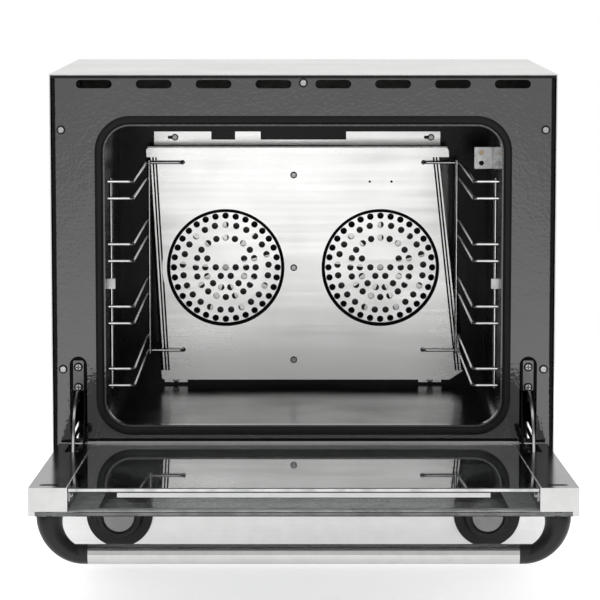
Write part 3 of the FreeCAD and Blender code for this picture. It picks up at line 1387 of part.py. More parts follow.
def make_handle():
    end_x = "(elbow_offset - elbow_bend)"
    outer = rod("handle_tube_outside", "X", f"-{end_x}", f"-{HANDLE_S}", TUBE_Z, "tube_radius",
                f"2 * {end_x}")
    bore = rod("handle_tube_bore", "X", f"-{end_x}", f"-{HANDLE_S}", TUBE_Z, "tube_radius - tube_wall",
               f"2 * {end_x}")
    tube = cut("handle_tube", outer, bore)
    subparts.append(place_on_door(tube))

    bend = value("elbow_bend")
    radius = value("tube_radius")
    lean = value("sleeve_top - sleeve_foot")
    steps = 4
    up = FreeCAD.Vector(0, 0, 1)
    across = FreeCAD.Vector(0, 4 * radius, 0)
    for side, sign in SIDES:
        outward = FreeCAD.Vector(sign, 0, 0)
        tube_end = FreeCAD.Vector(sign * value(end_x), -value(HANDLE_S), value(TUBE_Z))
        pivot = tube_end + up * (bend - value("elbow_sag"))
        rings = []
        for step in range(steps + 1):
            share = step / steps
            angle = math.pi / 2 * share
            arm = outward * math.cos(angle) - up * math.sin(angle)
            heading = -outward * math.sin(angle) - up * math.cos(angle)
            ring_radius = value("elbow_radius") * (1 - share) + value("elbow_tip") * share
            rings.append(Part.Wire([Part.makeCircle(ring_radius, pivot + arm * bend, heading)]))
        elbow = Part.makeLoft(rings, True, False)
        neck_length = value(f"{OUTER_FACE} - {TUBE_Z} + elbow_sag - elbow_bend")
        neck = Part.makeCylinder(value("elbow_radius"), neck_length, pivot + outward * bend, up)
        sleeve = Part.makeCylinder(radius, value("sleeve_top"), tube_end, outward)
        middle = tube_end + outward * value("(sleeve_top + sleeve_foot) / 2") - across / 2
        slant = [middle - outward * lean - up * 2 * radius, middle + outward * lean + up * 2 * radius,
                 middle + outward * 4 * radius - up * 2 * radius]
        wedge = Part.Face(Part.makePolygon(slant, True)).extrude(across)
        spigot = Part.makeCylinder(value("tube_radius - tube_wall - spigot_fit"), value("spigot_length"),
                                   tube_end, -outward)
        moulding = elbow.fuse([neck, sleeve.cut(wedge), spigot]).removeSplitter()
        item = shaped(f"{side}_handle_elbow", moulding)
        place_on_door(item)


def make_handle_bolts():
    members = []
    for side, sign in SIDES:
        x = f"{sign} * elbow_offset"
        seat = f"({GLASS_SEAT} + stile_gauge)"
        shank = rod(f"{side}_bolt_shank", "Z", x, f"-{HANDLE_S}", OUTER_FACE, "bolt_radius",
                    f"{seat} - {OUTER_FACE}")
        head = rod(f"{side}_bolt_head", "Z", x, f"-{HANDLE_S}", seat, "bolt_head", "bolt_head_height")
        members.append(fused(f"{side}_handle_bolt", shank, head))
    place_on_door(group("handle_bolts", members))


# Controls

CONTROLS = (("timer", -1), ("thermostat", 1))


def make_controls():
    for name, sign in CONTROLS:
        x = f"{sign} * knob_offset"
        switch = Piece(f"{name}_switch")
        half = "switch_width / 2"
        switch.pad(switch.outline("XZ", "sheet_gauge").rectangle(f"-{half}", half, f"-{half} + switch_rise",
                                                                 f"{half} + switch_rise"), "switch_depth")
        bore = switch.outline("XZ", "sheet_gauge").circle("0", "0", "stem_radius + running_fit")
        switch.pocket(bore, "stem_insert")
        place(switch.body, x, FRONT_Y, "knob_height")

        stem = rod(f"{name}_stem", "Y", x, f"{FRONT_Y} - stem_front", "knob_height", "stem_radius",
                   "stem_front + sheet_gauge + stem_insert - running_fit")
        subparts.append(stem)

        knob = Piece(f"{name}_knob")
        skirt = "(-knob_gap - skirt_height)"
        half = knob.outline("XY")
        stem_bore = "stem_radius + running_fit"
        well = "cap_radius + cap_groove"
        floor = "(-knob_length + cap_height)"
        bore_end = "(-stem_front - running_fit)"
        half.polygon([(stem_bore, "-knob_gap"), ("skirt_radius", "-knob_gap"), ("skirt_radius", skirt),
                      ("knob_radius + knob_draft", skirt), ("knob_radius", "-knob_length"),
                      (well, "-knob_length"), (well, floor), ("0", floor), ("0", bore_end),
                      (stem_bore, bore_end)])
        knob.revolve(half)
        place(knob.body, x, FRONT_Y, "knob_height")

        cap = rod(f"{name}_knob_cap", "Y", x, f"{FRONT_Y} - knob_length", "knob_height", "cap_radius",
                  "cap_height")
        subparts.append(cap)


def make_lamps():
    lamps = []
    for name, sign in (("power_lamp", -1), ("heating_lamp", 1)):
        lamp = Piece(name)
        lamps.append(subparts.pop())
        half = lamp.outline("XY")
        half.polygon([("0", "-lamp_proud"), ("lamp_radius - fit_gap", "-lamp_proud"),
                      ("lamp_bezel", "-lamp_proud / 3"), ("lamp_bezel", "0"), ("lamp_radius", "0"),
                      ("lamp_radius", "lamp_depth"), ("0", "lamp_depth")])
        lamp.revolve(half)
        place(lamp.body, f"{sign} * lamp_offset", FRONT_Y, "lamp_height")
    group("indicator_lamps", lamps)


# Power inlet

def make_power_inlet():
    gland = Piece("cable_gland")
    neck = "gland_neck - fit_gap"
    half = gland.outline("XY")
    inside = f"{REAR_IN} - gland_neck"
    step = "body_depth + gland_nut_length"
    tip = "body_depth + gland_reach"
    half.polygon([("gland_bore", inside), ("gland_nut", inside), ("gland_nut", REAR_IN), (neck, REAR_IN),
                  (neck, "body_depth"), ("gland_nut", "body_depth"), ("gland_nut", step),
                  ("gland_dome", step), ("gland_bore + gland_tip_wall", tip), ("gland_bore", tip)])
    gland.revolve(half)
    place(gland.body, "-gland_offset", FRONT_Y, "gland_height")

    terminals = Piece("terminal_block")
    base = "foot_height + sheet_gauge"
    middle = "-gland_offset / 2"
    near = f"{REAR_IN} - block_setback - block_depth"
    foot = terminals.outline("XY", base)
    foot.rectangle(f"{middle} - block_width / 2", f"{middle} + block_width / 2", near,
                   f"{near} + block_depth")
    terminals.pad(foot, "block_height")
    wells = terminals.outline("XY", f"{base} + block_height")
    for index in range(TERMINALS):
        x = f"{middle} + {index - (TERMINALS - 1) / 2} * block_pitch"
        wells.circle(x, f"{near} + block_depth / 2", "terminal_radius")
    terminals.pocket(wells, "block_height / 2", False)
    place(terminals.body)


BUILDERS = (make_top_panel, make_side_panels, make_rear_panel, make_base_pan, make_feet, make_front_panel,
            make_control_panel, make_mouth_ring, make_gasket, make_chamber_liner, make_insulation,
            make_baffle, make_baffle_screws, make_baffle_spacers, make_fan_guards, make_fan_wheels,
            make_fan_shafts, make_fan_motors, make_motor_standoffs, make_heating_elements,
            make_shelf_rails, make_rail_clips, make_bulb, make_hinge_brackets, make_front_screws,
            make_hinge_arms, make_hinge_pins, make_stiles, make_door_glass, make_heel_rail, make_retainer,
            make_glass_clips, make_handle, make_handle_bolts, make_controls, make_lamps, make_power_inlet)

for builder in BUILDERS:
    builder()
doc.recompute()

for item in doc.Objects:
    if {"Invalid", "Error"} & set(item.State):
        raise RuntimeError(f"{item.Label} failed: {item.State}")
for item in subparts:
    if item.Shape.isNull() or not item.Shape.isValid():
        raise RuntimeError(f"{item.Label} has no sound shape")

os.makedirs("parts", exist_ok=True)
for item in subparts:
    item.Shape.exportStep(f"parts/{item.Label}.step")
print(len(subparts), "sub-parts")
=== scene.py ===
"""Looks of a counter-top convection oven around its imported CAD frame."""

import json
import math

import bmesh
import bpy
from bpy.props import FloatProperty, FloatVectorProperty, PointerProperty
from mathutils import Matrix, Vector


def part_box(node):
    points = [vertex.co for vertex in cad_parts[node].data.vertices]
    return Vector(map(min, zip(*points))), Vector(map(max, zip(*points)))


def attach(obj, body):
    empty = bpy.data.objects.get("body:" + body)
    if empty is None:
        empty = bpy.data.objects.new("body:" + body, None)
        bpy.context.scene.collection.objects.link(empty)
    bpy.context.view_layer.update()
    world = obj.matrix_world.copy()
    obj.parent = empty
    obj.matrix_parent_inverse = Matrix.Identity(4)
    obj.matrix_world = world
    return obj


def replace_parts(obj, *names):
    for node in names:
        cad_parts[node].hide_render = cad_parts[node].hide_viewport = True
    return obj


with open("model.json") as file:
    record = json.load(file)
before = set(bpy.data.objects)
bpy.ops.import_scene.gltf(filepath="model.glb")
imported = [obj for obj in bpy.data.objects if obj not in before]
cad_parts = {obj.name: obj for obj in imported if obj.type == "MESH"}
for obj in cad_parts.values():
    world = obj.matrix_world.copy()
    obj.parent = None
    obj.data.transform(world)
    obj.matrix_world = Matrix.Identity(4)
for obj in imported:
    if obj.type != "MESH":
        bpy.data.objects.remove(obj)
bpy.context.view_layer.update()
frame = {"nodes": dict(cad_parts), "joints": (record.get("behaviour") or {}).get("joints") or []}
NODES = frame["nodes"]

bl_info = {
    "name": "Convection oven looks",
    "version": (1, 0, 0),
    "blender": (4, 5, 0),
    "location": "View3D > Sidebar > Oven",
    "description": "Finishes, small fittings and studio for the convection oven",
    "category": "Object",
}

SIDES = (("left", -1), ("right", 1))
HINGE = next(joint for joint in frame["joints"] if joint["name"] == "door_hinge")
FRONT_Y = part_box("front_panel")[0].y
REAR_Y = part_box("rear_panel")[1].y
TOP_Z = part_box("top_panel")[1].z


# Values a user would change

def colour(name, description, default):
    return FloatVectorProperty(name=name, description=description, subtype="COLOR", size=3, min=0, max=1,
                               default=default)


def length(name, description, default):
    return FloatProperty(name=name, description=description, default=default, min=0, unit="LENGTH")


def share(name, description, default):
    return FloatProperty(name=name, description=description, default=default, min=0, max=1, subtype="FACTOR")


def angle(name, description, degrees):
    return FloatProperty(name=name, description=description, default=math.radians(degrees), subtype="ANGLE")


def power(name, description, default):
    return FloatProperty(name=name, description=description, default=default, min=0, unit="POWER")


def position(name, description, default):
    return FloatVectorProperty(name=name, description=description, subtype="TRANSLATION", size=3,
                               default=default)


def millimetres(name, description, default):
    return FloatProperty(name=name, description=description, default=default, min=1, unit="CAMERA")


class OvenFinish(bpy.types.PropertyGroup):
    """Colours and surface textures."""
    casing: colour("Casing steel", "Brushed stainless sheet of the casing", (0.64, 0.64, 0.63))
    panel: colour("Control panel", "Brushed sheet behind the knobs", (0.78, 0.78, 0.775))
    steel: colour("Steel", "Bright stainless sheet of the door", (0.51, 0.51, 0.505))
    chamber_steel: colour("Chamber steel", "Brushed sheet in front of the fans", (0.96, 0.96, 0.945))
    zinc: colour("Zinc", "Zinc-coated sheet of the back and base", (0.50, 0.51, 0.51))
    tube: colour("Handle tube", "Polished steel of the handle", (0.44, 0.44, 0.436))
    heel: colour("Heel rail", "Dull sheet along the hinge end of the door", (0.36, 0.36, 0.356))
    arm: colour("Hinge arm", "Plating of the notched arms", (0.50, 0.50, 0.496))
    plate: colour("Plating", "Bright plating on wires and screws", (0.72, 0.72, 0.715))
    hinge: colour("Hinge plating", "Dull zinc plating of the hinges", (0.42, 0.42, 0.415))
    pad: colour("Hinge pad", "Dull plating under the hinge screws", (0.20, 0.20, 0.198))
    # The fan wheels' dark tone and the lips folded from them are shaded and lit copies of one sheet: painted
    # shade and painted glint
    fan: colour("Fan sheet", "Heat-dulled sheet of the fan wheels", (0.07, 0.07, 0.068))
    lip: colour("Fan lip", "Bright folded lips of the fan blades", (0.62, 0.62, 0.61))
    wire: colour("Rail plating", "Bright plating of the shelf rails", (0.86, 0.86, 0.85))
    enamel: colour("Enamel", "Dark grey vitreous enamel of the front", (0.009, 0.009, 0.0092))
    chamber_enamel: colour("Chamber enamel", "Black vitreous enamel of the chamber", (0.004, 0.004, 0.0042))
    speck: colour("Enamel speck", "Fine pale specks in the enamel", (0.06, 0.06, 0.062))
    rubber: colour("Gasket", "Silicone door gasket", (0.010, 0.010, 0.010))
    plastic: colour("Plastic", "Knobs, elbows and gland", (0.015, 0.015, 0.016))
    cap: colour("Knob cap", "Satin caps of the knobs", (0.235, 0.235, 0.237))
    glass: colour("Glass", "Tint of the inner pane", (0.35, 0.363, 0.36))
    outer_glass: colour("Outer glass", "Tint of the outer pane", (0.47, 0.485, 0.48))
    ground: colour("Ground edge", "Ground edge of the inner pane", (0.52, 0.54, 0.535))
    outer_ground: colour("Outer ground edge", "Ground edge of the outer pane", (0.13, 0.134, 0.134))
    border: colour("Glass border", "Border printed on the outer glass", (0.40, 0.40, 0.405))
    index: colour("Index line", "Line printed on a knob", (0.75, 0.75, 0.74))
    wool: colour("Insulation", "Mineral wool", (0.52, 0.47, 0.36))
    element: colour("Heating tube", "Heat-darkened sheath", (0.13, 0.115, 0.105))
    motor: colour("Motor", "Motor paint", (0.18, 0.19, 0.20))
    moulding: colour("Switch moulding", "Switch bodies", (0.62, 0.58, 0.47))
    lamp: colour("Lamp", "Amber lamp lens", (0.75, 0.24, 0.03))
    copper: colour("Bulb", "Thermostat bulb", (0.60, 0.46, 0.34))
    brush_depth: length("Brush depth", "Depth of the brush marks", 0.00006)
    ripple_depth: length("Ripple depth", "Depth of the enamel's orange peel", 0.00022)
    grain_depth: length("Grain depth", "Depth of the grain of mouldings", 0.00005)


class OvenFittings(bpy.types.PropertyGroup):
    """Sizes of the small pieces that are added to the frame."""
    rest_tilt: angle("Door tilt", "Open door above level", 2.94)
    recess_share: share("Screw recess", "Cross recess across a screw's head", 0.72)
    screw_radius: length("Screw", "Radius of a rear screw's head", 0.0036)
    screw_height: length("Screw height", "Height of a rear screw's head", 0.0022)
    rear_inset: length("Rear screw inset", "Rear screws from the sides of the back", 0.0135)
    clip_stand: length("Clip screw stand", "Clip screw's seat from the clip's wall", 0.0012)
    clip_sink: length("Clip screw drop", "Clip screw below the clip's middle", 0.001)
    # Rings of painted shadow round the screw heads, standing for the shade in each screw's seat
    seat: length("Screw seat", "Dark seat round a front screw", 0.0011)
    baffle_seat: length("Baffle screw seat", "Dark seat round a baffle screw", 0.0008)
    seat_film: length("Seat film", "Thickness of a screw's seat", 0.0002)
    pad_film: length("Pad film", "Plating on the hinge pads", 0.0002)
    # Film of painted shade in a guard's dished rim: a black sheet where the rim lies in shadow
    rim_film: length("Guard rim", "Enamel in the dished rim of a guard", 0.0003)
    bead: length("Weld bead", "Radius of a weld on the rails", 0.0017)
    hem: length("Stile hem", "Radius of the hem on a stile", 0.0007)
    # The seam is a real joint; its black filling is painted shade for the shadow under the top panel's edge
    seam: length("Seam", "Height of the dark joint under the top panel", 0.0034)
    seam_film: length("Seam film", "Depth of that joint's filling", 0.0004)
    baffle_hem: length("Baffle hem", "Radius of the hem along the baffle's top", 0.0022)
    lip: length("Fan lip", "Width of the folded lip on a fan blade", 0.007)
    lip_gauge: length("Lip gauge", "Sheet of a fan blade's lip", 0.0008)
    border_side: length("Border side", "Printed border beside the stiles", 0.030)
    border_end: length("Border end", "Printed border at the door's ends", 0.026)
    border_heel: length("Border heel", "Print under the heel rail", 0.0155)
    border_margin: length("Border margin", "Bare glass outside the print", 0.0005)
    border_gap: length("Border gap", "Joint between bare and covered print", 0.0001)
    index_width: length("Index width", "Width of the line on a knob", 0.0018)
    index_inset: length("Index inset", "Line short of the edges of its face", 0.0006)
    index_film: length("Index film", "Thickness of the line on a knob", 0.00015)
    edge_film: length("Edge film", "Thickness of a pane's ground edge", 0.00005)
    edge_bevel: length("Edge bevel", "Polished bevels beside a ground edge", 0.0010)
    border_film: length("Border film", "Thickness of the printed border", 0.0003)


class OvenStudio(bpy.types.PropertyGroup):
    """Camera, lights and floor."""
    camera_side: FloatProperty(name="Camera side", description="Camera from the middle", default=-0.0039,
                               unit="LENGTH")
    camera_back: length("Camera distance", "Camera in front of the front panel", 3.508)
    camera_rise: length("Camera rise", "Camera above the top panel", 0.1464)
    camera_pitch: angle("Camera pitch", "Camera below level", 6.70)
    camera_reach: length("Camera reach", "Farthest that the camera sees", 60)
    lens: millimetres("Lens", "Focal length in millimetres", 179.7)
    sensor: millimetres("Sensor", "Width of the sensor in millimetres", 36)
    floor: colour("Floor", "Pale studio floor", (0.86, 0.86, 0.86))
    floor_side: length("Floor side", "Floor to each side of the middle", 0.75)
    floor_front: length("Floor front", "Floor in front of the oven", 8.0)
    floor_rear: length("Floor rear", "Floor behind the oven", 1.2)
    floor_sheet: length("Floor sheet", "Thickness of the floor", 0.002)
    floor_gap: length("Floor gap", "Floor below the feet", 0.0005)
    floor_lift: share("Floor lift", "Lifts the floor to white where no shadow falls", 0.60)
    sky: share("Sky", "Soft light from all round", 0.80)
    flag: share("Flags", "Brightness of the dark flags beside the front", 0.03)
    wall: share("Front wall", "Brightness of the wall behind the camera", 1.0)
    ceiling: share("Ceiling", "Brightness of the ceiling above that wall", 0.20)
    key: power("Key light", "Power of the overhead soft box", 34)
    key_size: length("Key size", "Side of the overhead soft box", 2.4)
    key_place: position("Key place", "Middle of the overhead soft box", (-0.6, -1.7, 2.7))
    fill: power("Fill light", "Power of the side soft box", 10)
    fill_size: length("Fill size", "Side of the side soft box", 1.8)
    fill_place: position("Fill place", "Middle of the side soft box", (2.4, -1.6, 1.3))
    aim: length("Aim", "Height that the soft boxes point to", 0.3)


def finish():
    return bpy.context.scene.oven_finish


def fittings():
    return bpy.context.scene.oven_fittings


# Node trees

class Graph:
    """Adds and links the nodes of one tree."""

    def __init__(self, tree):
        self.tree = tree

    def add(self, kind, **settings):
        node = self.tree.nodes.new(kind)
        for name, setting in settings.items():
            setattr(node, name, setting)
        return node

    def feed(self, target, source):
        """Links a socket, or sets a plain value."""
        if isinstance(source, bpy.types.NodeSocket):
            self.tree.links.new(source, target)
        else:
            target.default_value = source

    def fed(self, kind, inputs, output=0, **settings):
        """The output of a new node with its inputs fed."""
        node = self.add(kind, **settings)
        for name, source in inputs.items():
            self.feed(node.inputs[name], source)
        return node.outputs[output]

    def noise(self, vector, scale, detail=3.0, roughness=0.5):
        inputs = {"Vector": vector, "Scale": scale, "Detail": detail, "Roughness": roughness}
        return self.fed("ShaderNodeTexNoise", inputs, "Fac")

    def cells(self, vector, scale, output):
        return self.fed("ShaderNodeTexVoronoi", {"Vector": vector, "Scale": scale}, output, feature="F1")

    def stretch(self, vector, scale):
        return self.fed("ShaderNodeVectorMath", {0: vector, 1: scale}, operation="MULTIPLY")

    def spread(self, source, low, high, out_low=0.0, out_high=1.0):
        """Spreads the values between low and high, and clamps the rest."""
        inputs = {"Value": source, "From Min": low, "From Max": high, "To Min": out_low, "To Max": out_high}
        return self.fed("ShaderNodeMapRange", inputs)

    def math(self, operation, first, second):
        return self.fed("ShaderNodeMath", {0: first, 1: second}, operation=operation)

    def times(self, first, second):
        return self.math("MULTIPLY", first, second)

    def mix(self, share_of_second, first, second):
        """Mixes two colours, whose sockets are 6 and 7 of the node."""
        return self.fed("ShaderNodeMix", {0: share_of_second, 6: first, 7: second}, 2, data_type="RGBA")

    def bump(self, height, depth, strength):
        inputs = {"Height": height, "Distance": depth, "Strength": strength}
        return self.fed("ShaderNodeBump", inputs)

    def place(self):
        return self.add("ShaderNodeTexCoord").outputs["Object"]

    def clouds(self, scale, detail):
        """Soft patches, from 0 to 1."""
        return self.spread(self.noise(self.place(), scale, detail), 0.3, 0.7)


def effect(name, inputs, outputs):
    """An empty shader group with its sockets, and the graph to fill it."""
    group = bpy.data.node_groups.new(name, "ShaderNodeTree")
    for label, default in inputs:
        kind = "NodeSocketVector" if hasattr(default, "__len__") else "NodeSocketFloat"
        socket = group.interface.new_socket(label, in_out="INPUT", socket_type=kind)
        socket.default_value = default
    for label in outputs:
        group.interface.new_socket(label, in_out="OUTPUT", socket_type="NodeSocketFloat")
    graph = Graph(group)
    return group, graph, graph.add("NodeGroupInput").outputs, graph.add("NodeGroupOutput").inputs


def effect_group(builder):
    """Builds a shared effect once."""
    name = builder.__name__.replace("_", " ")
    return bpy.data.node_groups.get(name) or builder(name)


def brush_marks(name):
    group, graph, inside, out = effect(name, [("Along", (1.0, 1.0, 1.0)), ("Fineness", 900.0)],
                                       ["Height", "Shade", "Cloud"])
    along = graph.stretch(graph.place(), inside["Along"])
    fine = graph.noise(along, inside["Fineness"], detail=4.0, roughness=0.6)
    coarse = graph.noise(along, graph.times(inside["Fineness"], 0.16), detail=2.0)
    graph.feed(out["Height"], graph.math("ADD", fine, graph.times(coarse, 0.5)))
    graph.feed(out["Shade"], graph.spread(coarse, 0.3, 0.7))
    graph.feed(out["Cloud"], graph.clouds(7.0, detail=3.0))
    return group


def enamel_skin(name):
    group, graph, inside, out = effect(name, [("Ripple", 150.0), ("Specks", 0.5)],
                                       ["Height", "Speck", "Cloud"])
    place = graph.place()
    ripple = graph.noise(place, inside["Ripple"], detail=1.5, roughness=0.4)
    broad = graph.noise(place, graph.times(inside["Ripple"], 0.13), detail=1.0)
    graph.feed(out["Height"], graph.math("ADD", ripple, graph.times(broad, 1.6)))
    small = graph.spread(graph.cells(place, 420.0, "Distance"), 0.10, 0.22, 1.0, 0.0)
    few = graph.spread(graph.noise(place, 300.0, detail=1.0), 0.55, 0.62)
    graph.feed(out["Speck"], graph.times(graph.times(small, few), inside["Specks"]))
    graph.feed(out["Cloud"], graph.clouds(9.0, detail=4.0))
    return group


def plating_bloom(name):
    group, graph, inside, out = effect(name, [("Size", 60.0)], ["Bloom", "Grain"])
    tint = graph.fed("ShaderNodeSeparateColor", {0: graph.cells(graph.place(), inside["Size"], "Color")})
    cloud = graph.noise(graph.place(), 24.0, detail=4.0)
    graph.feed(out["Bloom"], graph.times(graph.math("ADD", tint, cloud), 0.5))
    graph.feed(out["Grain"], graph.noise(graph.place(), 1600.0, roughness=0.7))
    return group


def worn_edges(name):
    group, graph, inside, out = effect(name, [("Amount", 0.5)], ["Wear"])
    edge = graph.spread(graph.add("ShaderNodeNewGeometry").outputs["Pointiness"], 0.53, 0.62)
    patchy = graph.spread(graph.noise(graph.place(), 60.0, detail=4.0), 0.42, 0.6)
    graph.feed(out["Wear"], graph.times(graph.times(edge, patchy), inside["Amount"]))
    return group


def moulded_grain(name):
    group, graph, inside, out = effect(name, [("Grain", 1400.0)], ["Height", "Cloud"])
    graph.feed(out["Height"], graph.noise(graph.place(), inside["Grain"], detail=2.0, roughness=0.6))
    graph.feed(out["Cloud"], graph.clouds(14.0, detail=4.0))
    return group


class Surface(Graph):
    """A material whose Principled shader takes its detail from the shared effects."""

    def __init__(self, name):
        material = bpy.data.materials.new(name)
        material.use_nodes = True
        super().__init__(material.node_tree)
        self.material = material
        self.shader = material.node_tree.nodes["Principled BSDF"]

    def set(self, **sockets):
        for name, source in sockets.items():
            self.feed(self.shader.inputs[name.replace("_", " ")], source)
        return self

    def vary(self, mask, low, high):
        """A value that follows a mask from low to high."""
        return self.spread(mask, 0.0, 1.0, low, high)

    def shade(self, mask, tone, low, high):
        """A colour that follows a mask between two strengths."""
        return self.mix(mask, rgba(tone, low), rgba(tone, high))

    def worn(self, base, tone, amount, factor):
        """A colour that turns paler where edges are worn."""
        wear = self.use(worn_edges, Amount=amount)
        return self.mix(wear["Wear"], base, rgba(tone, factor))

    def use(self, builder, **values):
        node = self.add("ShaderNodeGroup", node_tree=effect_group(builder))
        for name, setting in values.items():
            self.feed(node.inputs[name], setting)
        return node.outputs


def rgba(tone, factor=1.0):
    return (*(min(1.0, part * factor) for part in tone), 1.0)


def grey(level):
    return rgba((level, level, level))


def finish_once(maker):
    """Keeps one material for each name."""
    made = {}

    def keep(name, *values, **named):
        if name not in made:
            made[name] = maker(name, *values, **named)
        return made[name]
    return keep


@finish_once
def brushed(name, tone, along, rough, fineness=900.0, streak=0.04, glance=1.0):
    """Sheet with fine marks along one direction, and soft clouds where it was wiped."""
    surface = Surface(name)
    marks = surface.use(brush_marks, Along=along, Fineness=fineness)
    sheet = surface.shade(marks["Shade"], tone, 1 - streak, 1 + streak)
    surface.set(Base_Color=surface.worn(sheet, tone, amount=0.35, factor=1.15), Metallic=1.0)
    clouds = surface.vary(marks["Cloud"], rough * 0.85, rough * 1.2)
    lines = surface.vary(marks["Shade"], rough * -0.12, rough * 0.12)
    surface.set(Roughness=surface.math("ADD", clouds, lines))
    surface.set(Normal=surface.bump(marks["Height"], finish().brush_depth, strength=0.35))
    surface.set(Specular_Tint=grey(glance))
    return surface.material


@finish_once
def enamelled(name, tone, rough, ripple, depth, index):
    """Fired enamel: glossy, slightly rippled, with fine specks."""
    surface = Surface(name)
    skin = surface.use(enamel_skin, Ripple=ripple, Specks=0.5)
    ground = surface.shade(skin["Cloud"], tone, 0.92, 1.08)
    surface.set(Base_Color=surface.mix(skin["Speck"], ground, rgba(finish().speck)))
    surface.set(Roughness=surface.vary(skin["Cloud"], rough * 0.75, rough * 1.35))
    surface.set(IOR=index, Normal=surface.bump(skin["Height"], finish().ripple_depth, depth))
    return surface.material


@finish_once
def plated(name, tone, rough, cell=60.0):
    """Electroplated steel with a faint bloom."""
    surface = Surface(name)
    bloom = surface.use(plating_bloom, Size=cell)
    skin = surface.shade(bloom["Bloom"], tone, 0.86, 1.1)
    surface.set(Base_Color=surface.worn(skin, tone, amount=0.5, factor=1.3), Metallic=1.0)
    surface.set(Roughness=surface.vary(bloom["Bloom"], rough * 0.7, rough * 1.3))
    surface.set(Normal=surface.bump(bloom["Grain"], finish().grain_depth, strength=0.12))
    return surface.material


@finish_once
def moulded(name, tone, rough, grain=1400.0, depth=0.35, gloss=0.25):
    """Moulded plastic or rubber with a fine grain and handled patches."""
    surface = Surface(name)
    skin = surface.use(moulded_grain, Grain=grain)
    base = surface.shade(skin["Cloud"], tone, 0.85, 1.2)
    surface.set(Base_Color=surface.worn(base, tone, amount=0.4, factor=2.0))
    surface.set(Roughness=surface.vary(skin["Cloud"], rough * 0.85, rough * 1.15))
    surface.set(Specular_IOR_Level=gloss, Normal=surface.bump(skin["Height"], finish().grain_depth, depth))
    return surface.material


@finish_once
def fibrous(name, tone):
    """Matted mineral fibres."""
    surface = Surface(name)
    strands = surface.use(brush_marks, Along=(1.0, 0.25, 1.0), Fineness=420.0)
    surface.set(Base_Color=surface.shade(strands["Shade"], tone, 0.6, 1.15), Roughness=0.95)
    surface.set(Normal=surface.bump(strands["Height"], depth=0.002, strength=0.8))
    return surface.material


@finish_once
def oxidised(name, tone):
    """A heating tube's sheath, darkened in bands by use."""
    surface = Surface(name)
    bloom = surface.use(plating_bloom, Size=90.0)
    surface.set(Base_Color=surface.shade(bloom["Bloom"], tone, 0.5, 1.6), Metallic=0.85)
    surface.set(Roughness=surface.vary(bloom["Bloom"], 0.38, 0.62))
    surface.set(Normal=surface.bump(bloom["Grain"], finish().grain_depth, strength=0.4))
    return surface.material


@finish_once
def pane(name, tone):
    """Clear glass that lets light through to what lies behind it."""
    surface = Surface(name)
    skin = surface.use(moulded_grain, Grain=60.0)
    surface.set(Base_Color=rgba(tone), Metallic=0.0, Transmission_Weight=1.0, IOR=1.5)
    surface.set(Roughness=surface.vary(skin["Cloud"], 0.0, 0.035))
    clear = surface.fed("ShaderNodeBsdfTransparent", {"Color": rgba(tone, 0.95)})
    shadow = surface.add("ShaderNodeLightPath").outputs["Is Shadow Ray"]
    either = surface.fed("ShaderNodeMixShader", {0: shadow, 1: surface.shader.outputs[0], 2: clear})
    surface.feed(surface.tree.nodes["Material Output"].inputs["Surface"], either)
    return surface.material


@finish_once
def lens_amber(name, tone):
    """A moulded lamp lens with a gloss coat."""
    surface = Surface(name)
    skin = surface.use(moulded_grain, Grain=500.0)
    surface.set(Base_Color=surface.shade(skin["Cloud"], tone, 0.7, 1.15), Roughness=0.18, Coat_Weight=0.5)
    surface.set(Normal=surface.bump(skin["Height"], finish().grain_depth, strength=0.6))
    return surface.material


def paint(material, *names):
    for name in names:
        mesh = NODES[name].data
        mesh.materials.clear()
        mesh.materials.append(material)


def both(name):
    """Names of the left and the right node of a pair."""
    return [f"{side}_{name}" for side, _ in SIDES]


# Mesh pieces

FACING_FRONT = Matrix.Rotation(math.radians(90), 4, "X")
FACING_REAR = Matrix.Rotation(math.radians(-90), 4, "X")
FACING_RIGHT = Matrix.Rotation(math.radians(90), 4, "Y")

# Proportions of a cross-head screw: shares of its radius and height, or of its recess
HEAD_DOME = ((0.80, 0.95), (0.93, 0.66), (1.0, 0.25), (1.0, 0.0))
HEAD_DEPTH = 0.62
RECESS_HALF_WIDTH = 0.30
RECESS_FLOOR = 0.2
RECESS_TAPER = 0.9
# Inner edge of the ring of painted shadow round a screw head, as a share of the head's radius
SHADOW_RING_INNER = 0.9

# Proportions of other small pieces
REAR_SCREW_LEVELS = (0.12, 0.5, 0.88)
BEAD_DOME = ((0, -1.0), (0.7, -0.7), (1.0, 0.0), (0.7, 0.7), (0, 1.0))
PAD_CORNER = 0.2
PAD_RISE = 0.55
LIP_PROUD = 0.75

# Sides of the round pieces
HEAD_STEPS = 24
SHADOW_RING_STEPS = 32
RIM_STEPS = 96
HEM_STEPS = 12
BAFFLE_HEM_STEPS = 16
BEAD_STEPS = 12

# Forms of the frame that the pieces fit on: lengths in metres, and a count
SAME_POINT = 1e-6
GUARD_FLANGE = 0.006
GUARD_SLOPE = 0.004
CHAMBER_SHEET = 0.001
HINGE_PAD_WIDTH = 0.0124
BLADES = 9
BLADE_ROOT = 0.018
BLADE_TIP = 0.060
BLADE_LEAN = 0.010
UPRIGHT_LEAST = 0.1
KNOB_WELL = 0.0206
KNOB_RIM = 0.0252
KNOB_FOOT = 0.0285
KNOB_SKIRT = 0.005


def solid(name, shape, material):
    """Turns a finished bmesh into an object."""
    mesh = bpy.data.meshes.new(name)
    bmesh.ops.recalc_face_normals(shape, faces=shape.faces)
    shape.to_mesh(mesh)
    shape.free()
    mesh.materials.append(material)
    thing = bpy.data.objects.new(name, mesh)
    bpy.context.scene.collection.objects.link(thing)
    return thing


def piece(name, shape, material, body):
    """A solid that rides on a body."""
    thing = solid(name, shape, material)
    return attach(thing, body)


def box_round(points):
    """The lowest and the highest corner of a box round some points."""
    axes = list(zip(*points))
    return Vector(map(min, axes)), Vector(map(max, axes))


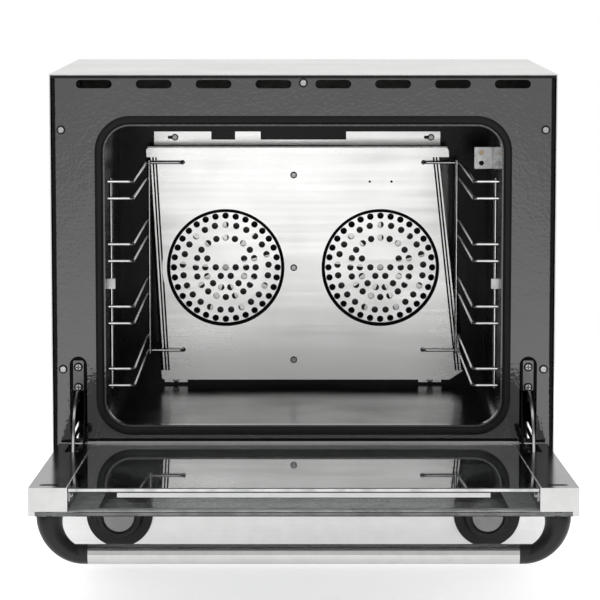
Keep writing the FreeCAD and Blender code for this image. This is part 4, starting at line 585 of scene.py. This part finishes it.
def islands(name):
    """Boxes round the separate solids of a CAD node, in the same order each run."""
    shape = bmesh.new()
    shape.from_mesh(NODES[name].data)
    bmesh.ops.remove_doubles(shape, verts=shape.verts, dist=SAME_POINT)
    waiting = set(shape.verts)
    boxes = []
    while waiting:
        joined = [waiting.pop()]
        for vertex in joined:
            others = waiting & {edge.other_vert(vertex) for edge in vertex.link_edges}
            waiting -= others
            joined += others
        boxes.append(box_round([vertex.co for vertex in joined]))
    shape.free()
    return sorted(boxes, key=lambda box: (*box[0], *box[1]))


def hoop(shape, place, radius, height, steps):
    """Adds a ring of vertices round the place's Z."""
    turns = [2 * math.pi * step / steps for step in range(steps)]
    spots = [Vector((radius * math.cos(turn), radius * math.sin(turn), height)) for turn in turns]
    return [shape.verts.new(place @ spot) for spot in spots]


def bridge(shape, lower, upper):
    """Adds the faces between two rings. A ring of one vertex is a point."""
    steps = max(len(lower), len(upper))
    for step in range(steps):
        after = (step + 1) % steps
        corners = [lower[step % len(lower)], lower[after % len(lower)], upper[after % len(upper)],
                   upper[step % len(upper)]]
        shape.faces.new(list(dict.fromkeys(corners)))


def lathe(shape, outline, place, steps):
    """Adds a closed turned body. The outline runs from axis to axis as (radius, height) pairs."""
    rings = [hoop(shape, place, radius, height, steps if radius else 1) for radius, height in outline]
    for lower, upper in zip(rings, rings[1:]):
        bridge(shape, lower, upper)


def turned_ring(shape, outline, place, steps):
    """Adds a closed ring. The outline goes round its section as (radius, height) pairs."""
    rings = [hoop(shape, place, radius, height, steps) for radius, height in outline]
    for lower, upper in zip(rings, rings[1:] + rings[:1]):
        bridge(shape, lower, upper)


def bar(radius, run):
    """Outline of a round bar with softened ends."""
    soft = radius / 2
    return [(0, 0), (soft, 0), (radius, soft), (radius, run - soft), (soft, run), (0, run)]


def rectangle(left, right, low, high):
    """Outline of a rectangle from its four limits."""
    return [(left, low), (right, low), (right, high), (left, high)]


def prism(shape, outline, place, height):
    """Adds a closed plate from a flat outline of (x, y) points."""
    floor = [shape.verts.new(place @ Vector((x, y, 0))) for x, y in outline]
    roof = [shape.verts.new(place @ Vector((x, y, height))) for x, y in outline]
    shape.faces.new(floor[::-1])
    shape.faces.new(roof)
    bridge(shape, floor, roof)


def cross_head(shape, place, radius, height):
    """A domed screw head with an open cross recess, standing along the place's Z."""
    arm = radius * fittings().recess_share
    half = arm * RECESS_HALF_WIDTH
    quarter = [(half, half), (half, arm), (-half, arm)]
    cross = []
    for _ in range(4):
        cross += quarter
        quarter = [(-y, x) for x, y in quarter]
    top = height * HEAD_DOME[0][1]
    floor = height * RECESS_FLOOR
    edge = [shape.verts.new(place @ Vector((x, y, top))) for x, y in cross]
    sunk = [shape.verts.new(place @ Vector((x * RECESS_TAPER, y * RECESS_TAPER, floor))) for x, y in cross]
    bridge(shape, sunk, edge)
    shape.faces.new(sunk)
    rings = [hoop(shape, place, radius * across, height * up, HEAD_STEPS) for across, up in HEAD_DOME]
    for upper, lower in zip(rings, rings[1:]):
        bridge(shape, lower, upper)
    shape.faces.new(rings[-1])
    rims = [shape.edges.get(pair) for ring in (edge, rings[0]) for pair in zip(ring, ring[1:] + ring[:1])]
    bmesh.ops.triangle_fill(shape, edges=rims, use_beauty=True)


def screws_in_seats(group, material, reach):
    """Cross-head screws in place of a node's plain ones, facing the front, each in a dark ring of painted
    shadow.
    """
    sizes = fittings()
    node = f"{group}_screws"
    heads = bmesh.new()
    seat_shadows = bmesh.new()
    for low, high in islands(node):
        middle = (low + high) / 2
        radius = (high.x - low.x) / 2
        depth = min(radius * HEAD_DEPTH, high.y - low.y)
        place = Matrix.Translation((middle.x, low.y + depth, middle.z)) @ FACING_FRONT
        cross_head(heads, place, radius, depth)
        section = rectangle(radius * SHADOW_RING_INNER, radius + reach, 0, sizes.seat_film)
        place = Matrix.Translation((middle.x, low.y + sizes.screw_height, middle.z)) @ FACING_FRONT
        turned_ring(seat_shadows, section, place, SHADOW_RING_STEPS)
    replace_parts(piece(f"{group}_cross_screws", heads, material, "oven"), node)
    # Black ring: painted shadow round each head
    dark = moulded("screw seat", finish().rubber, rough=0.6)
    piece(f"{group}_screw_seats", seat_shadows, dark, "oven")


def door_place():
    """From the door's own frame (X along the hinge, Y towards it, Z out of its inside) to the open door."""
    return Matrix.Translation(HINGE["pos_m"]) @ Matrix.Rotation(-fittings().rest_tilt, 4, "X")


# Operators, one for each group of like pieces

ALONG_X = (0.03, 1.0, 1.0)
ALONG_Y = (1.0, 0.03, 1.0)


class Undoable:
    """Lets a user undo an operator."""
    bl_options = {"REGISTER", "UNDO"}


class OVEN_OT_casing(Undoable, bpy.types.Operator):
    """Brushed steel casing, zinc-coated back and base, rear screws"""
    bl_idname = "oven.casing"
    bl_label = "Casing"

    def execute(self, context):
        tones = finish()
        sizes = fittings()
        paint(brushed("casing steel", tones.casing, ALONG_Y, rough=0.30), "top_panel", *both("side_panel"))
        paint(brushed("control panel steel", tones.panel, ALONG_X, rough=0.36), "control_panel")
        paint(plated("zinc-coated sheet", tones.zinc, rough=0.42, cell=45.0), "rear_panel", "base_pan")
        shape = bmesh.new()
        low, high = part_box("rear_panel")
        for x in (low.x + sizes.rear_inset, high.x - sizes.rear_inset):
            for level in REAR_SCREW_LEVELS:
                z = low.z + (high.z - low.z) * level
                place = Matrix.Translation((x, REAR_Y, z)) @ FACING_REAR
                cross_head(shape, place, sizes.screw_radius, sizes.screw_height)
        piece("rear_screws", shape, plated("bright screw", tones.plate, rough=0.2), "oven")
        return {"FINISHED"}


class OVEN_OT_front(Undoable, bpy.types.Operator):
    """Enamelled front panel, mouth ring, screws in painted shadow rings, top seam in painted shade"""
    bl_idname = "oven.front"
    bl_label = "Front"

    def execute(self, context):
        enamel = enamelled("front enamel", finish().enamel, rough=0.06, ripple=260.0, depth=0.5, index=1.88)
        paint(enamel, "front_panel", "mouth_ring")
        plating = plated("front screw", finish().hinge, rough=0.2)
        screws_in_seats("front", plating, fittings().seat)
        self.seam()
        return {"FINISHED"}

    def seam(self):
        """A joint between the front and the top panel, filled with black as painted shade for its shadow."""
        low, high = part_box("front_panel")
        height = fittings().seam
        film = fittings().seam_film
        section = [(0, 0), (height, 0), (height - film, -film), (film, -film)]
        shape = bmesh.new()
        prism(shape, section, Matrix.Translation((low.x, low.y, high.z)) @ FACING_RIGHT, high.x - low.x)
        # Black filling: painted shade in the joint
        piece("top_seam_shade", shape, moulded("seam filling", finish().rubber, rough=0.6), "oven")


class OVEN_OT_chamber(Undoable, bpy.types.Operator):
    """Enamelled chamber and door gasket"""
    bl_idname = "oven.chamber"
    bl_label = "Chamber"

    def execute(self, context):
        black = finish().chamber_enamel
        enamel = enamelled("chamber enamel", black, rough=0.20, ripple=120.0, depth=0.3, index=1.3)
        paint(enamel, "chamber_liner")
        silicone = moulded("gasket silicone", finish().rubber, rough=0.42, grain=900.0, gloss=0.15)
        paint(silicone, "door_gasket")
        return {"FINISHED"}


class OVEN_OT_baffle(Undoable, bpy.types.Operator):
    """Brushed fan baffle, perforated guards, fan wheels and their screws"""
    bl_idname = "oven.baffle"
    bl_label = "Baffle and fans"

    def execute(self, context):
        steel = finish().chamber_steel
        paint(brushed("baffle steel", steel, ALONG_X, rough=0.30, streak=0.015), "fan_baffle")
        guard = brushed("guard steel", steel, ALONG_X, rough=0.30, fineness=1100.0, streak=0.015)
        paint(guard, *both("fan_guard"))
        # Dark tone: painted shade on the wheels behind the guards
        paint(plated("fan sheet", finish().fan, rough=0.36), *both("fan_wheel"))
        plating = plated("baffle screw", finish().hinge, rough=0.3)
        screws_in_seats("baffle", plating, fittings().baffle_seat)
        self.rims()
        self.hem()
        for side, _ in SIDES:
            self.lips(side)
        turned = plated("turned steel", finish().hinge, rough=0.3)
        paint(turned, *both("fan_shaft"), "baffle_spacers", "motor_standoffs")
        return {"FINISHED"}

    def hem(self):
        """A rolled hem along the top of the baffle's face."""
        radius = fittings().baffle_hem
        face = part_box("fan_baffle")[0].y
        points = [vertex.co for vertex in NODES["fan_baffle"].data.vertices]
        points = [point for point in points if point.y - face < CHAMBER_SHEET]
        top = max(point.z for point in points)
        ends = [point.x for point in points if top - point.z < radius]
        place = Matrix.Translation((min(ends), face + radius, top + radius / 2)) @ FACING_RIGHT
        shape = bmesh.new()
        lathe(shape, bar(radius, max(ends) - min(ends)), place, BAFFLE_HEM_STEPS)
        steel = brushed("baffle hem steel", finish().chamber_steel, ALONG_X, rough=0.22, streak=0.015)
        piece("baffle_hem", shape, steel, "oven")

    def lips(self, side):
        """A lip folded from the front edge of each blade of a fan wheel, far brighter than its wheel: a
        painted glint.
        """
        sizes = fittings()
        low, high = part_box(f"{side}_fan_wheel")
        middle = (low + high) / 2
        outline = [(BLADE_ROOT, 0), (BLADE_TIP, BLADE_LEAN), (BLADE_TIP, BLADE_LEAN + sizes.lip),
                   (BLADE_ROOT, sizes.lip)]
        shape = bmesh.new()
        for index in range(BLADES):
            turn = Matrix.Rotation(-2 * math.pi * index / BLADES, 4, "Y")
            start = Matrix.Translation((middle.x, low.y + sizes.lip_gauge * LIP_PROUD, middle.z))
            prism(shape, outline, start @ turn @ FACING_FRONT, sizes.lip_gauge)
        # Bright plating: painted glint on the lips
        plating = plated("fan lip", finish().lip, rough=0.3)
        piece(f"{side}_fan_lips", shape, plating, f"{side}_fan")

    def rims(self):
        """Painted shade: a black film in the dished rim between each guard and the baffle, where the rim
        lies in shadow.
        """
        film = fittings().rim_film
        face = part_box("fan_baffle")[0].y
        shape = bmesh.new()
        for side, _ in SIDES:
            low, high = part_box(f"{side}_fan_guard")
            middle = (low + high) / 2
            flat = high.y - CHAMBER_SHEET
            outer = (high.x - low.x) / 2 - GUARD_FLANGE
            inner = outer - GUARD_SLOPE
            depth = flat - face
            lip = low.y - face
            section = [(outer, 0), (outer, -lip), (inner, -depth), (inner - film, -depth),
                       (outer - film, -lip + film), (outer - film, 0)]
            place = Matrix.Translation((middle.x, face, middle.z)) @ FACING_FRONT
            turned_ring(shape, section, place, RIM_STEPS)
        # Black film: painted shade in the rims
        enamel = moulded("rim enamel", finish().chamber_enamel, rough=0.5, grain=600.0)
        piece("guard_rim_shade", shape, enamel, "oven")


class OVEN_OT_rails(Undoable, bpy.types.Operator):
    """Bright wire shelf rails with their welds and clips, and the thermostat bulb"""
    bl_idname = "oven.rails"
    bl_label = "Rails"

    def execute(self, context):
        tones = finish()
        wire = plated("rail plating", tones.wire, rough=0.21)
        paint(wire, *both("shelf_rail"))
        paint(plated("clip plating", tones.hinge, rough=0.3), "rail_clips")
        paint(plated("bracket plating", tones.plate, rough=0.25), "bulb_bracket")
        paint(plated("bulb copper", tones.copper, rough=0.26), "thermostat_bulb")
        for side, _ in SIDES:
            self.welds(side, wire)
        return {"FINISHED"}

    def welds(self, side, wire):
        """A bead where each tray wire crosses an upright."""
        solids = islands(f"{side}_shelf_rail")
        uprights = [box for box in solids if box[1].z - box[0].z > UPRIGHT_LEAST]
        wires = [box for box in solids if box[1].z - box[0].z < UPRIGHT_LEAST]
        front = min(uprights, key=lambda box: box[0].y)
        rear = max(uprights, key=lambda box: box[0].y)
        outer = rear[0].x if side == "left" else rear[1].x
        spots = [((front[0].x + front[1].x) / 2, front[0].y), (outer, (rear[0].y + rear[1].y) / 2)]
        bead = fittings().bead
        outline = [(radius * bead, height * bead) for radius, height in BEAD_DOME]
        shape = bmesh.new()
        for low, high in wires:
            for x, y in spots:
                place = Matrix.Translation((x, y, (low.z + high.z) / 2)) @ FACING_FRONT
                lathe(shape, outline, place, BEAD_STEPS)
        piece(f"{side}_rail_welds", shape, wire, "oven")


class OVEN_OT_hinges(Undoable, bpy.types.Operator):
    """Black hinge brackets, whose black is painted shade in the hinge slots, and plated pads, notched arms
    and pins
    """
    bl_idname = "oven.hinges"
    bl_label = "Hinges"

    def execute(self, context):
        tones = finish()
        # Painted shade: the brackets are black so that the slot round each pad reads as a dark gap
        black = moulded("bracket black", tones.chamber_enamel, rough=0.6, grain=900.0, gloss=0.08)
        paint(black, *both("hinge_bracket"))
        paint(plated("hinge plating", tones.hinge, rough=0.34), "hinge_pins", "handle_bolts")
        paint(plated("hinge arm plating", tones.arm, rough=0.22), *both("hinge_arm"))
        self.pads()
        return {"FINISHED"}

    def pads(self):
        """Plating on the raised pad under each pair of hinge screws."""
        film = fittings().pad_film
        half = HINGE_PAD_WIDTH / 2
        cut = half * PAD_CORNER
        shape = bmesh.new()
        for side, _ in SIDES:
            low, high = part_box(f"{side}_hinge_bracket")
            middle = (low.x + high.x) / 2
            screws = [box for box in islands("front_screws") if low.x < box[0].x < high.x]
            foot = min(box[0].z for box in screws)
            top = max(box[1].z for box in screws) + half * PAD_RISE
            face = min(box[0].y for box in screws) + fittings().screw_height
            outline = [(half - cut, foot), (half, foot + cut), (half, top - cut), (half - cut, top),
                       (cut - half, top), (-half, top - cut), (-half, foot + cut), (cut - half, foot)]
            prism(shape, outline, Matrix.Translation((middle, face, 0)) @ FACING_FRONT, film)
        plating = plated("pad plating", finish().pad, rough=0.45)
        piece("hinge_pads", shape, plating, "oven")


class OVEN_OT_door(Undoable, bpy.types.Operator):
    """Brushed stiles, two panes, printed border, heel rail and clips"""
    bl_idname = "oven.door"
    bl_label = "Door"

    def execute(self, context):
        tones = finish()
        stile = brushed("stile steel", tones.steel, ALONG_Y, rough=0.15, glance=0.55)
        paint(stile, *both("door_stile"))
        paint(brushed("heel steel", tones.heel, ALONG_X, rough=0.22), "heel_rail")
        paint(brushed("retainer steel", tones.steel, ALONG_X, rough=0.30), "glass_retainer")
        paint(pane("inner pane", tones.glass), "inner_glass")
        paint(pane("outer pane", tones.outer_glass), "outer_glass")
        paint(plated("clip plating", tones.hinge, rough=0.3), "glass_clips")
        self.ground_edge("inner_glass", tones.ground, "clear_glass")
        self.ground_edge("outer_glass", tones.outer_ground, "tinted_glass")
        self.hems()
        self.border()
        self.clip_screws()
        return {"FINISHED"}

    def corners(self, node):
        """A node's points in the door's own frame."""
        inverse = door_place().inverted()
        return [inverse @ vertex.co for vertex in NODES[node].data.vertices]

    def limits(self, node):
        """The lowest and highest corner of a node's box in the door's own frame."""
        return box_round(self.corners(node))

    def ground_edge(self, node, tone, slot):
        """The ground edge of a pane at the front of the open door, between its bevels."""
        sizes = fittings()
        bevel = sizes.edge_bevel
        low, high = self.limits(node)
        half = high.x - bevel
        place = door_place() @ Matrix.Translation((0, low.y, 0)) @ FACING_FRONT
        shape = bmesh.new()
        prism(shape, rectangle(-half, half, low.z + bevel, high.z - bevel), place, sizes.edge_film)
        piece(f"{node}_edge", shape, moulded(f"{node} edge", tone, rough=0.5), "door")

    def hems(self):
        """A fine rolled hem along the inner edge and hinge end of each stile's top, with a painted
        highlight.
        """
        hem = fittings().hem
        shape = bmesh.new()
        for side, sign in SIDES:
            corners = self.corners(f"{side}_door_stile")
            inner = min((point.x for point in corners), key=abs)
            outer = max((point.x for point in corners), key=abs)
            top = max(point.z for point in corners)
            level = [point.y for point in corners if top - point.z < hem]
            along = Matrix.Translation((inner + sign * hem, max(level), top - hem / 2)) @ FACING_FRONT
            lathe(shape, bar(hem, max(level) - min(level)), door_place() @ along, HEM_STEPS)
            start = (min(inner, outer), max(level) - hem, top - hem / 2)
            across = Matrix.Translation(start) @ FACING_RIGHT
            lathe(shape, bar(hem, abs(outer - inner)), door_place() @ across, HEM_STEPS)
        # Brighter than the stile's own steel: painted highlight on the hem
        plating = plated("hem steel", finish().plate, rough=0.3)
        piece("stile_hem_highlights", shape, plating, "door")

    def border(self):
        """A printed frame on the outer glass. It goes on under the stiles and the heel rail."""
        sizes = fittings()
        margin = sizes.border_margin
        glass_low, glass_high = self.limits("outer_glass")
        edge = glass_high.x - margin
        half = self.limits("right_door_stile")[0].x - margin
        far = glass_low.y + margin
        end = glass_high.y - margin
        near = end - sizes.border_heel
        top = glass_high.z
        inner = half - sizes.border_side
        start = far + sizes.border_end
        stop = near - sizes.border_end
        bare = [(-half, half, far, start), (-half, half, stop, near), (-half, -inner, start, stop),
                (inner, half, start, stop)]
        wide = half + sizes.border_gap
        covered = [(-edge, -wide, far, end), (wide, edge, far, end),
                   (-half, half, near + sizes.border_gap, end)]
        shape = bmesh.new()
        for strips, level in ((bare, top), (covered, top - sizes.border_film / 2)):
            place = door_place() @ Matrix.Translation((0, 0, level))
            for strip in strips:
                prism(shape, rectangle(*strip), place, sizes.border_film)
        print_grey = moulded("printed border", finish().border, rough=0.3, grain=300.0, depth=0.1)
        piece("glass_border", shape, print_grey, "door")

    def clip_screws(self):
        """A screw through each glass clip into its stile."""
        sizes = fittings()
        inverse = door_place().inverted()
        shape = bmesh.new()
        for low, high in islands("glass_clips"):
            middle = inverse @ ((low + high) / 2)
            facing = -1 if middle.x > 0 else 1
            wall = high.x if middle.x > 0 else low.x
            stand = (wall + facing * sizes.clip_stand, middle.y, middle.z - sizes.clip_sink)
            turn = Matrix.Rotation(math.radians(90 * facing), 4, "Y")
            place = door_place() @ Matrix.Translation(stand) @ turn
            cross_head(shape, place, sizes.screw_radius, sizes.screw_height)
        plating = plated("bright screw", finish().plate, rough=0.2)
        piece("clip_screws", shape, plating, "door")


class OVEN_OT_handle(Undoable, bpy.types.Operator):
    """Steel handle tube between moulded elbows"""
    bl_idname = "oven.handle"
    bl_label = "Handle"

    def execute(self, context):
        paint(brushed("tube steel", finish().tube, ALONG_X, rough=0.06, fineness=1300.0), "handle_tube")
        paint(moulded("elbow moulding", finish().plastic, rough=0.36), *both("handle_elbow"))
        return {"FINISHED"}


class OVEN_OT_controls(Undoable, bpy.types.Operator):
    """Knobs with their caps and index lines, stems, switches and lamps"""
    bl_idname = "oven.controls"
    bl_label = "Controls"

    def execute(self, context):
        tones = finish()
        for name in ("timer", "thermostat"):
            paint(moulded("knob moulding", tones.plastic, rough=0.34), f"{name}_knob")
            paint(plated("cap plating", tones.cap, rough=0.40), f"{name}_knob_cap")
            paint(plated("turned steel", tones.hinge, rough=0.3), f"{name}_stem")
            paint(moulded("switch moulding", tones.moulding, rough=0.5), f"{name}_switch")
            self.index_line(name)
        paint(lens_amber("lamp lens", tones.lamp), "indicator_lamps")
        return {"FINISHED"}

    def index_line(self, name):
        """A pale line at the top of a knob, across its rim and its skirt."""
        sizes = fittings()
        inset = sizes.index_inset
        half = sizes.index_width / 2
        low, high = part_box(f"{name}_knob")
        middle = (low + high) / 2
        skirt = high.z - middle.z
        shape = bmesh.new()
        for face, inner, outer in ((low.y, KNOB_WELL, KNOB_RIM), (high.y - KNOB_SKIRT, KNOB_FOOT, skirt)):
            place = Matrix.Translation((middle.x, face, middle.z)) @ FACING_FRONT
            prism(shape, rectangle(-half, half, inner + inset, outer - inset), place, sizes.index_film)
        index = moulded("index print", finish().index, rough=0.5)
        piece(f"{name}_index_line", shape, index, f"{name}_dial")


class OVEN_OT_inner_works(Undoable, bpy.types.Operator):
    """Insulation, motors, heating tubes, terminal block, gland and feet"""
    bl_idname = "oven.inner_works"
    bl_label = "Inner works"

    def execute(self, context):
        tones = finish()
        paint(fibrous("mineral wool", tones.wool), "insulation_wrap")
        paint(moulded("motor paint", tones.motor, rough=0.42), *both("fan_motor"))
        paint(oxidised("heating sheath", tones.element), *both("heating_element"))
        paint(moulded("block moulding", tones.plastic, rough=0.4), "terminal_block", "cable_gland")
        paint(moulded("foot rubber", tones.rubber, rough=0.6, grain=700.0), "feet")
        return {"FINISHED"}


# Soft edges in the mirrored surround, as parts of a direction: where each tone starts and where it is full
AHEAD_EDGE = (0.05, -0.05)
FLAG_NEAR_EDGE = (0.22, 0.36)
FLAG_FAR_EDGE = (0.995, 0.97)
CEILING_FOOT = (0.72, 0.78)
CEILING_TOP = (0.99, 0.97)


class OVEN_OT_studio(Undoable, bpy.types.Operator):
    """Camera, soft lights, pale floor and white surround"""
    bl_idname = "oven.studio"
    bl_label = "Studio"

    def execute(self, context):
        scene = bpy.context.scene
        studio = scene.oven_studio
        scene.view_settings.view_transform = "Standard"
        self.camera(scene, studio)
        self.floor(studio)
        self.surround(scene, studio)
        self.lamp("key_soft_box", studio.key, studio.key_size, studio.key_place, studio.aim)
        self.lamp("fill_soft_box", studio.fill, studio.fill_size, studio.fill_place, studio.aim)
        return {"FINISHED"}

    def camera(self, scene, studio):
        data = bpy.data.cameras.new("camera")
        data.lens = studio.lens
        data.sensor_width = studio.sensor
        data.clip_end = studio.camera_reach
        camera = bpy.data.objects.new("camera", data)
        camera.location = (studio.camera_side, FRONT_Y - studio.camera_back, TOP_Z + studio.camera_rise)
        camera.rotation_euler = (math.radians(90) - studio.camera_pitch, 0, 0)
        scene.collection.objects.link(camera)
        scene.camera = camera

    def floor(self, studio):
        """A pale sheet that reads as white where no shadow falls on it."""
        side = studio.floor_side
        outline = rectangle(-side, side, FRONT_Y - studio.floor_front, REAR_Y + studio.floor_rear)
        below = Matrix.Translation((0, 0, -studio.floor_gap - studio.floor_sheet))
        shape = bmesh.new()
        prism(shape, outline, below, studio.floor_sheet)
        surface = Surface("studio floor")
        grain = surface.use(moulded_grain, Grain=40.0)
        surface.set(Base_Color=surface.shade(grain["Cloud"], studio.floor, 0.99, 1.01), Roughness=0.9)
        lift = surface.mix(self.seen(surface), grey(0), grey(1))
        surface.set(Emission_Color=lift, Emission_Strength=studio.floor_lift)
        solid("floor", shape, surface.material)

    def seen(self, graph):
        """One for rays that show the studio: seen, mirrored or through glass."""
        paths = graph.add("ShaderNodeLightPath").outputs
        seen = graph.math("MAXIMUM", paths["Is Camera Ray"], paths["Is Glossy Ray"])
        return graph.math("MAXIMUM", seen, paths["Is Transmission Ray"])

    def surround(self, scene, studio):
        """White where it is seen. Mirrored, it has dark flags beside the front and a dark band overhead."""
        world = bpy.data.worlds.new("surround")
        world.use_nodes = True
        graph = Graph(world.node_tree)
        way = graph.add("ShaderNodeSeparateXYZ")
        graph.feed(way.inputs[0], graph.add("ShaderNodeTexCoord").outputs["Generated"])
        aside = graph.math("ABSOLUTE", way.outputs["X"], 0.0)
        rise = way.outputs["Z"]
        ahead = graph.spread(way.outputs["Y"], *AHEAD_EDGE)
        near = graph.spread(aside, *FLAG_NEAR_EDGE)
        flags = graph.times(graph.times(near, graph.spread(aside, *FLAG_FAR_EDGE)), ahead)
        band = graph.times(graph.spread(rise, *CEILING_FOOT), graph.spread(rise, *CEILING_TOP))
        ceiling = graph.times(band, ahead)
        wall = graph.mix(ceiling, grey(studio.wall), grey(studio.ceiling))
        mirrored = graph.mix(flags, wall, grey(studio.flag))
        plain = graph.mix(self.seen(graph), grey(studio.sky), grey(1))
        glossy = graph.add("ShaderNodeLightPath").outputs["Is Glossy Ray"]
        graph.feed(world.node_tree.nodes["Background"].inputs["Color"], graph.mix(glossy, plain, mirrored))
        scene.world = world

    def lamp(self, name, energy, size, place, aim_height):
        data = bpy.data.lights.new(name, "AREA")
        data.energy = energy
        data.size = size
        lamp = bpy.data.objects.new(name, data)
        lamp.location = place
        lamp.visible_glossy = False
        aim = Vector((0.0, FRONT_Y, aim_height)) - Vector(place)
        lamp.rotation_euler = aim.to_track_quat("-Z", "Y").to_euler()
        bpy.context.scene.collection.objects.link(lamp)


OPERATORS = (OVEN_OT_casing, OVEN_OT_front, OVEN_OT_chamber, OVEN_OT_baffle, OVEN_OT_rails, OVEN_OT_hinges,
             OVEN_OT_door, OVEN_OT_handle, OVEN_OT_controls, OVEN_OT_inner_works, OVEN_OT_studio)


class OVEN_PT_looks(bpy.types.Panel):
    """Buttons for each group of pieces"""
    bl_idname = "OVEN_PT_looks"
    bl_label = "Oven"
    bl_space_type = "VIEW_3D"
    bl_region_type = "UI"
    bl_category = "Oven"

    def draw(self, context):
        for operator in OPERATORS:
            self.layout.operator(operator.bl_idname)


GROUPS = {"oven_finish": OvenFinish, "oven_fittings": OvenFittings, "oven_studio": OvenStudio}


def register():
    for name, kind in GROUPS.items():
        bpy.utils.register_class(kind)
        setattr(bpy.types.Scene, name, PointerProperty(type=kind))
    for kind in (*OPERATORS, OVEN_PT_looks):
        bpy.utils.register_class(kind)


def unregister():
    for kind in reversed((*OPERATORS, OVEN_PT_looks)):
        bpy.utils.unregister_class(kind)
    for name, kind in GROUPS.items():
        delattr(bpy.types.Scene, name)
        bpy.utils.unregister_class(kind)


def main():
    register()
    for operator in OPERATORS:
        group, action = operator.bl_idname.split(".")
        getattr(getattr(bpy.ops, group), action)()
    bpy.context.view_layer.update()


if __name__ == "__main__":
    main()
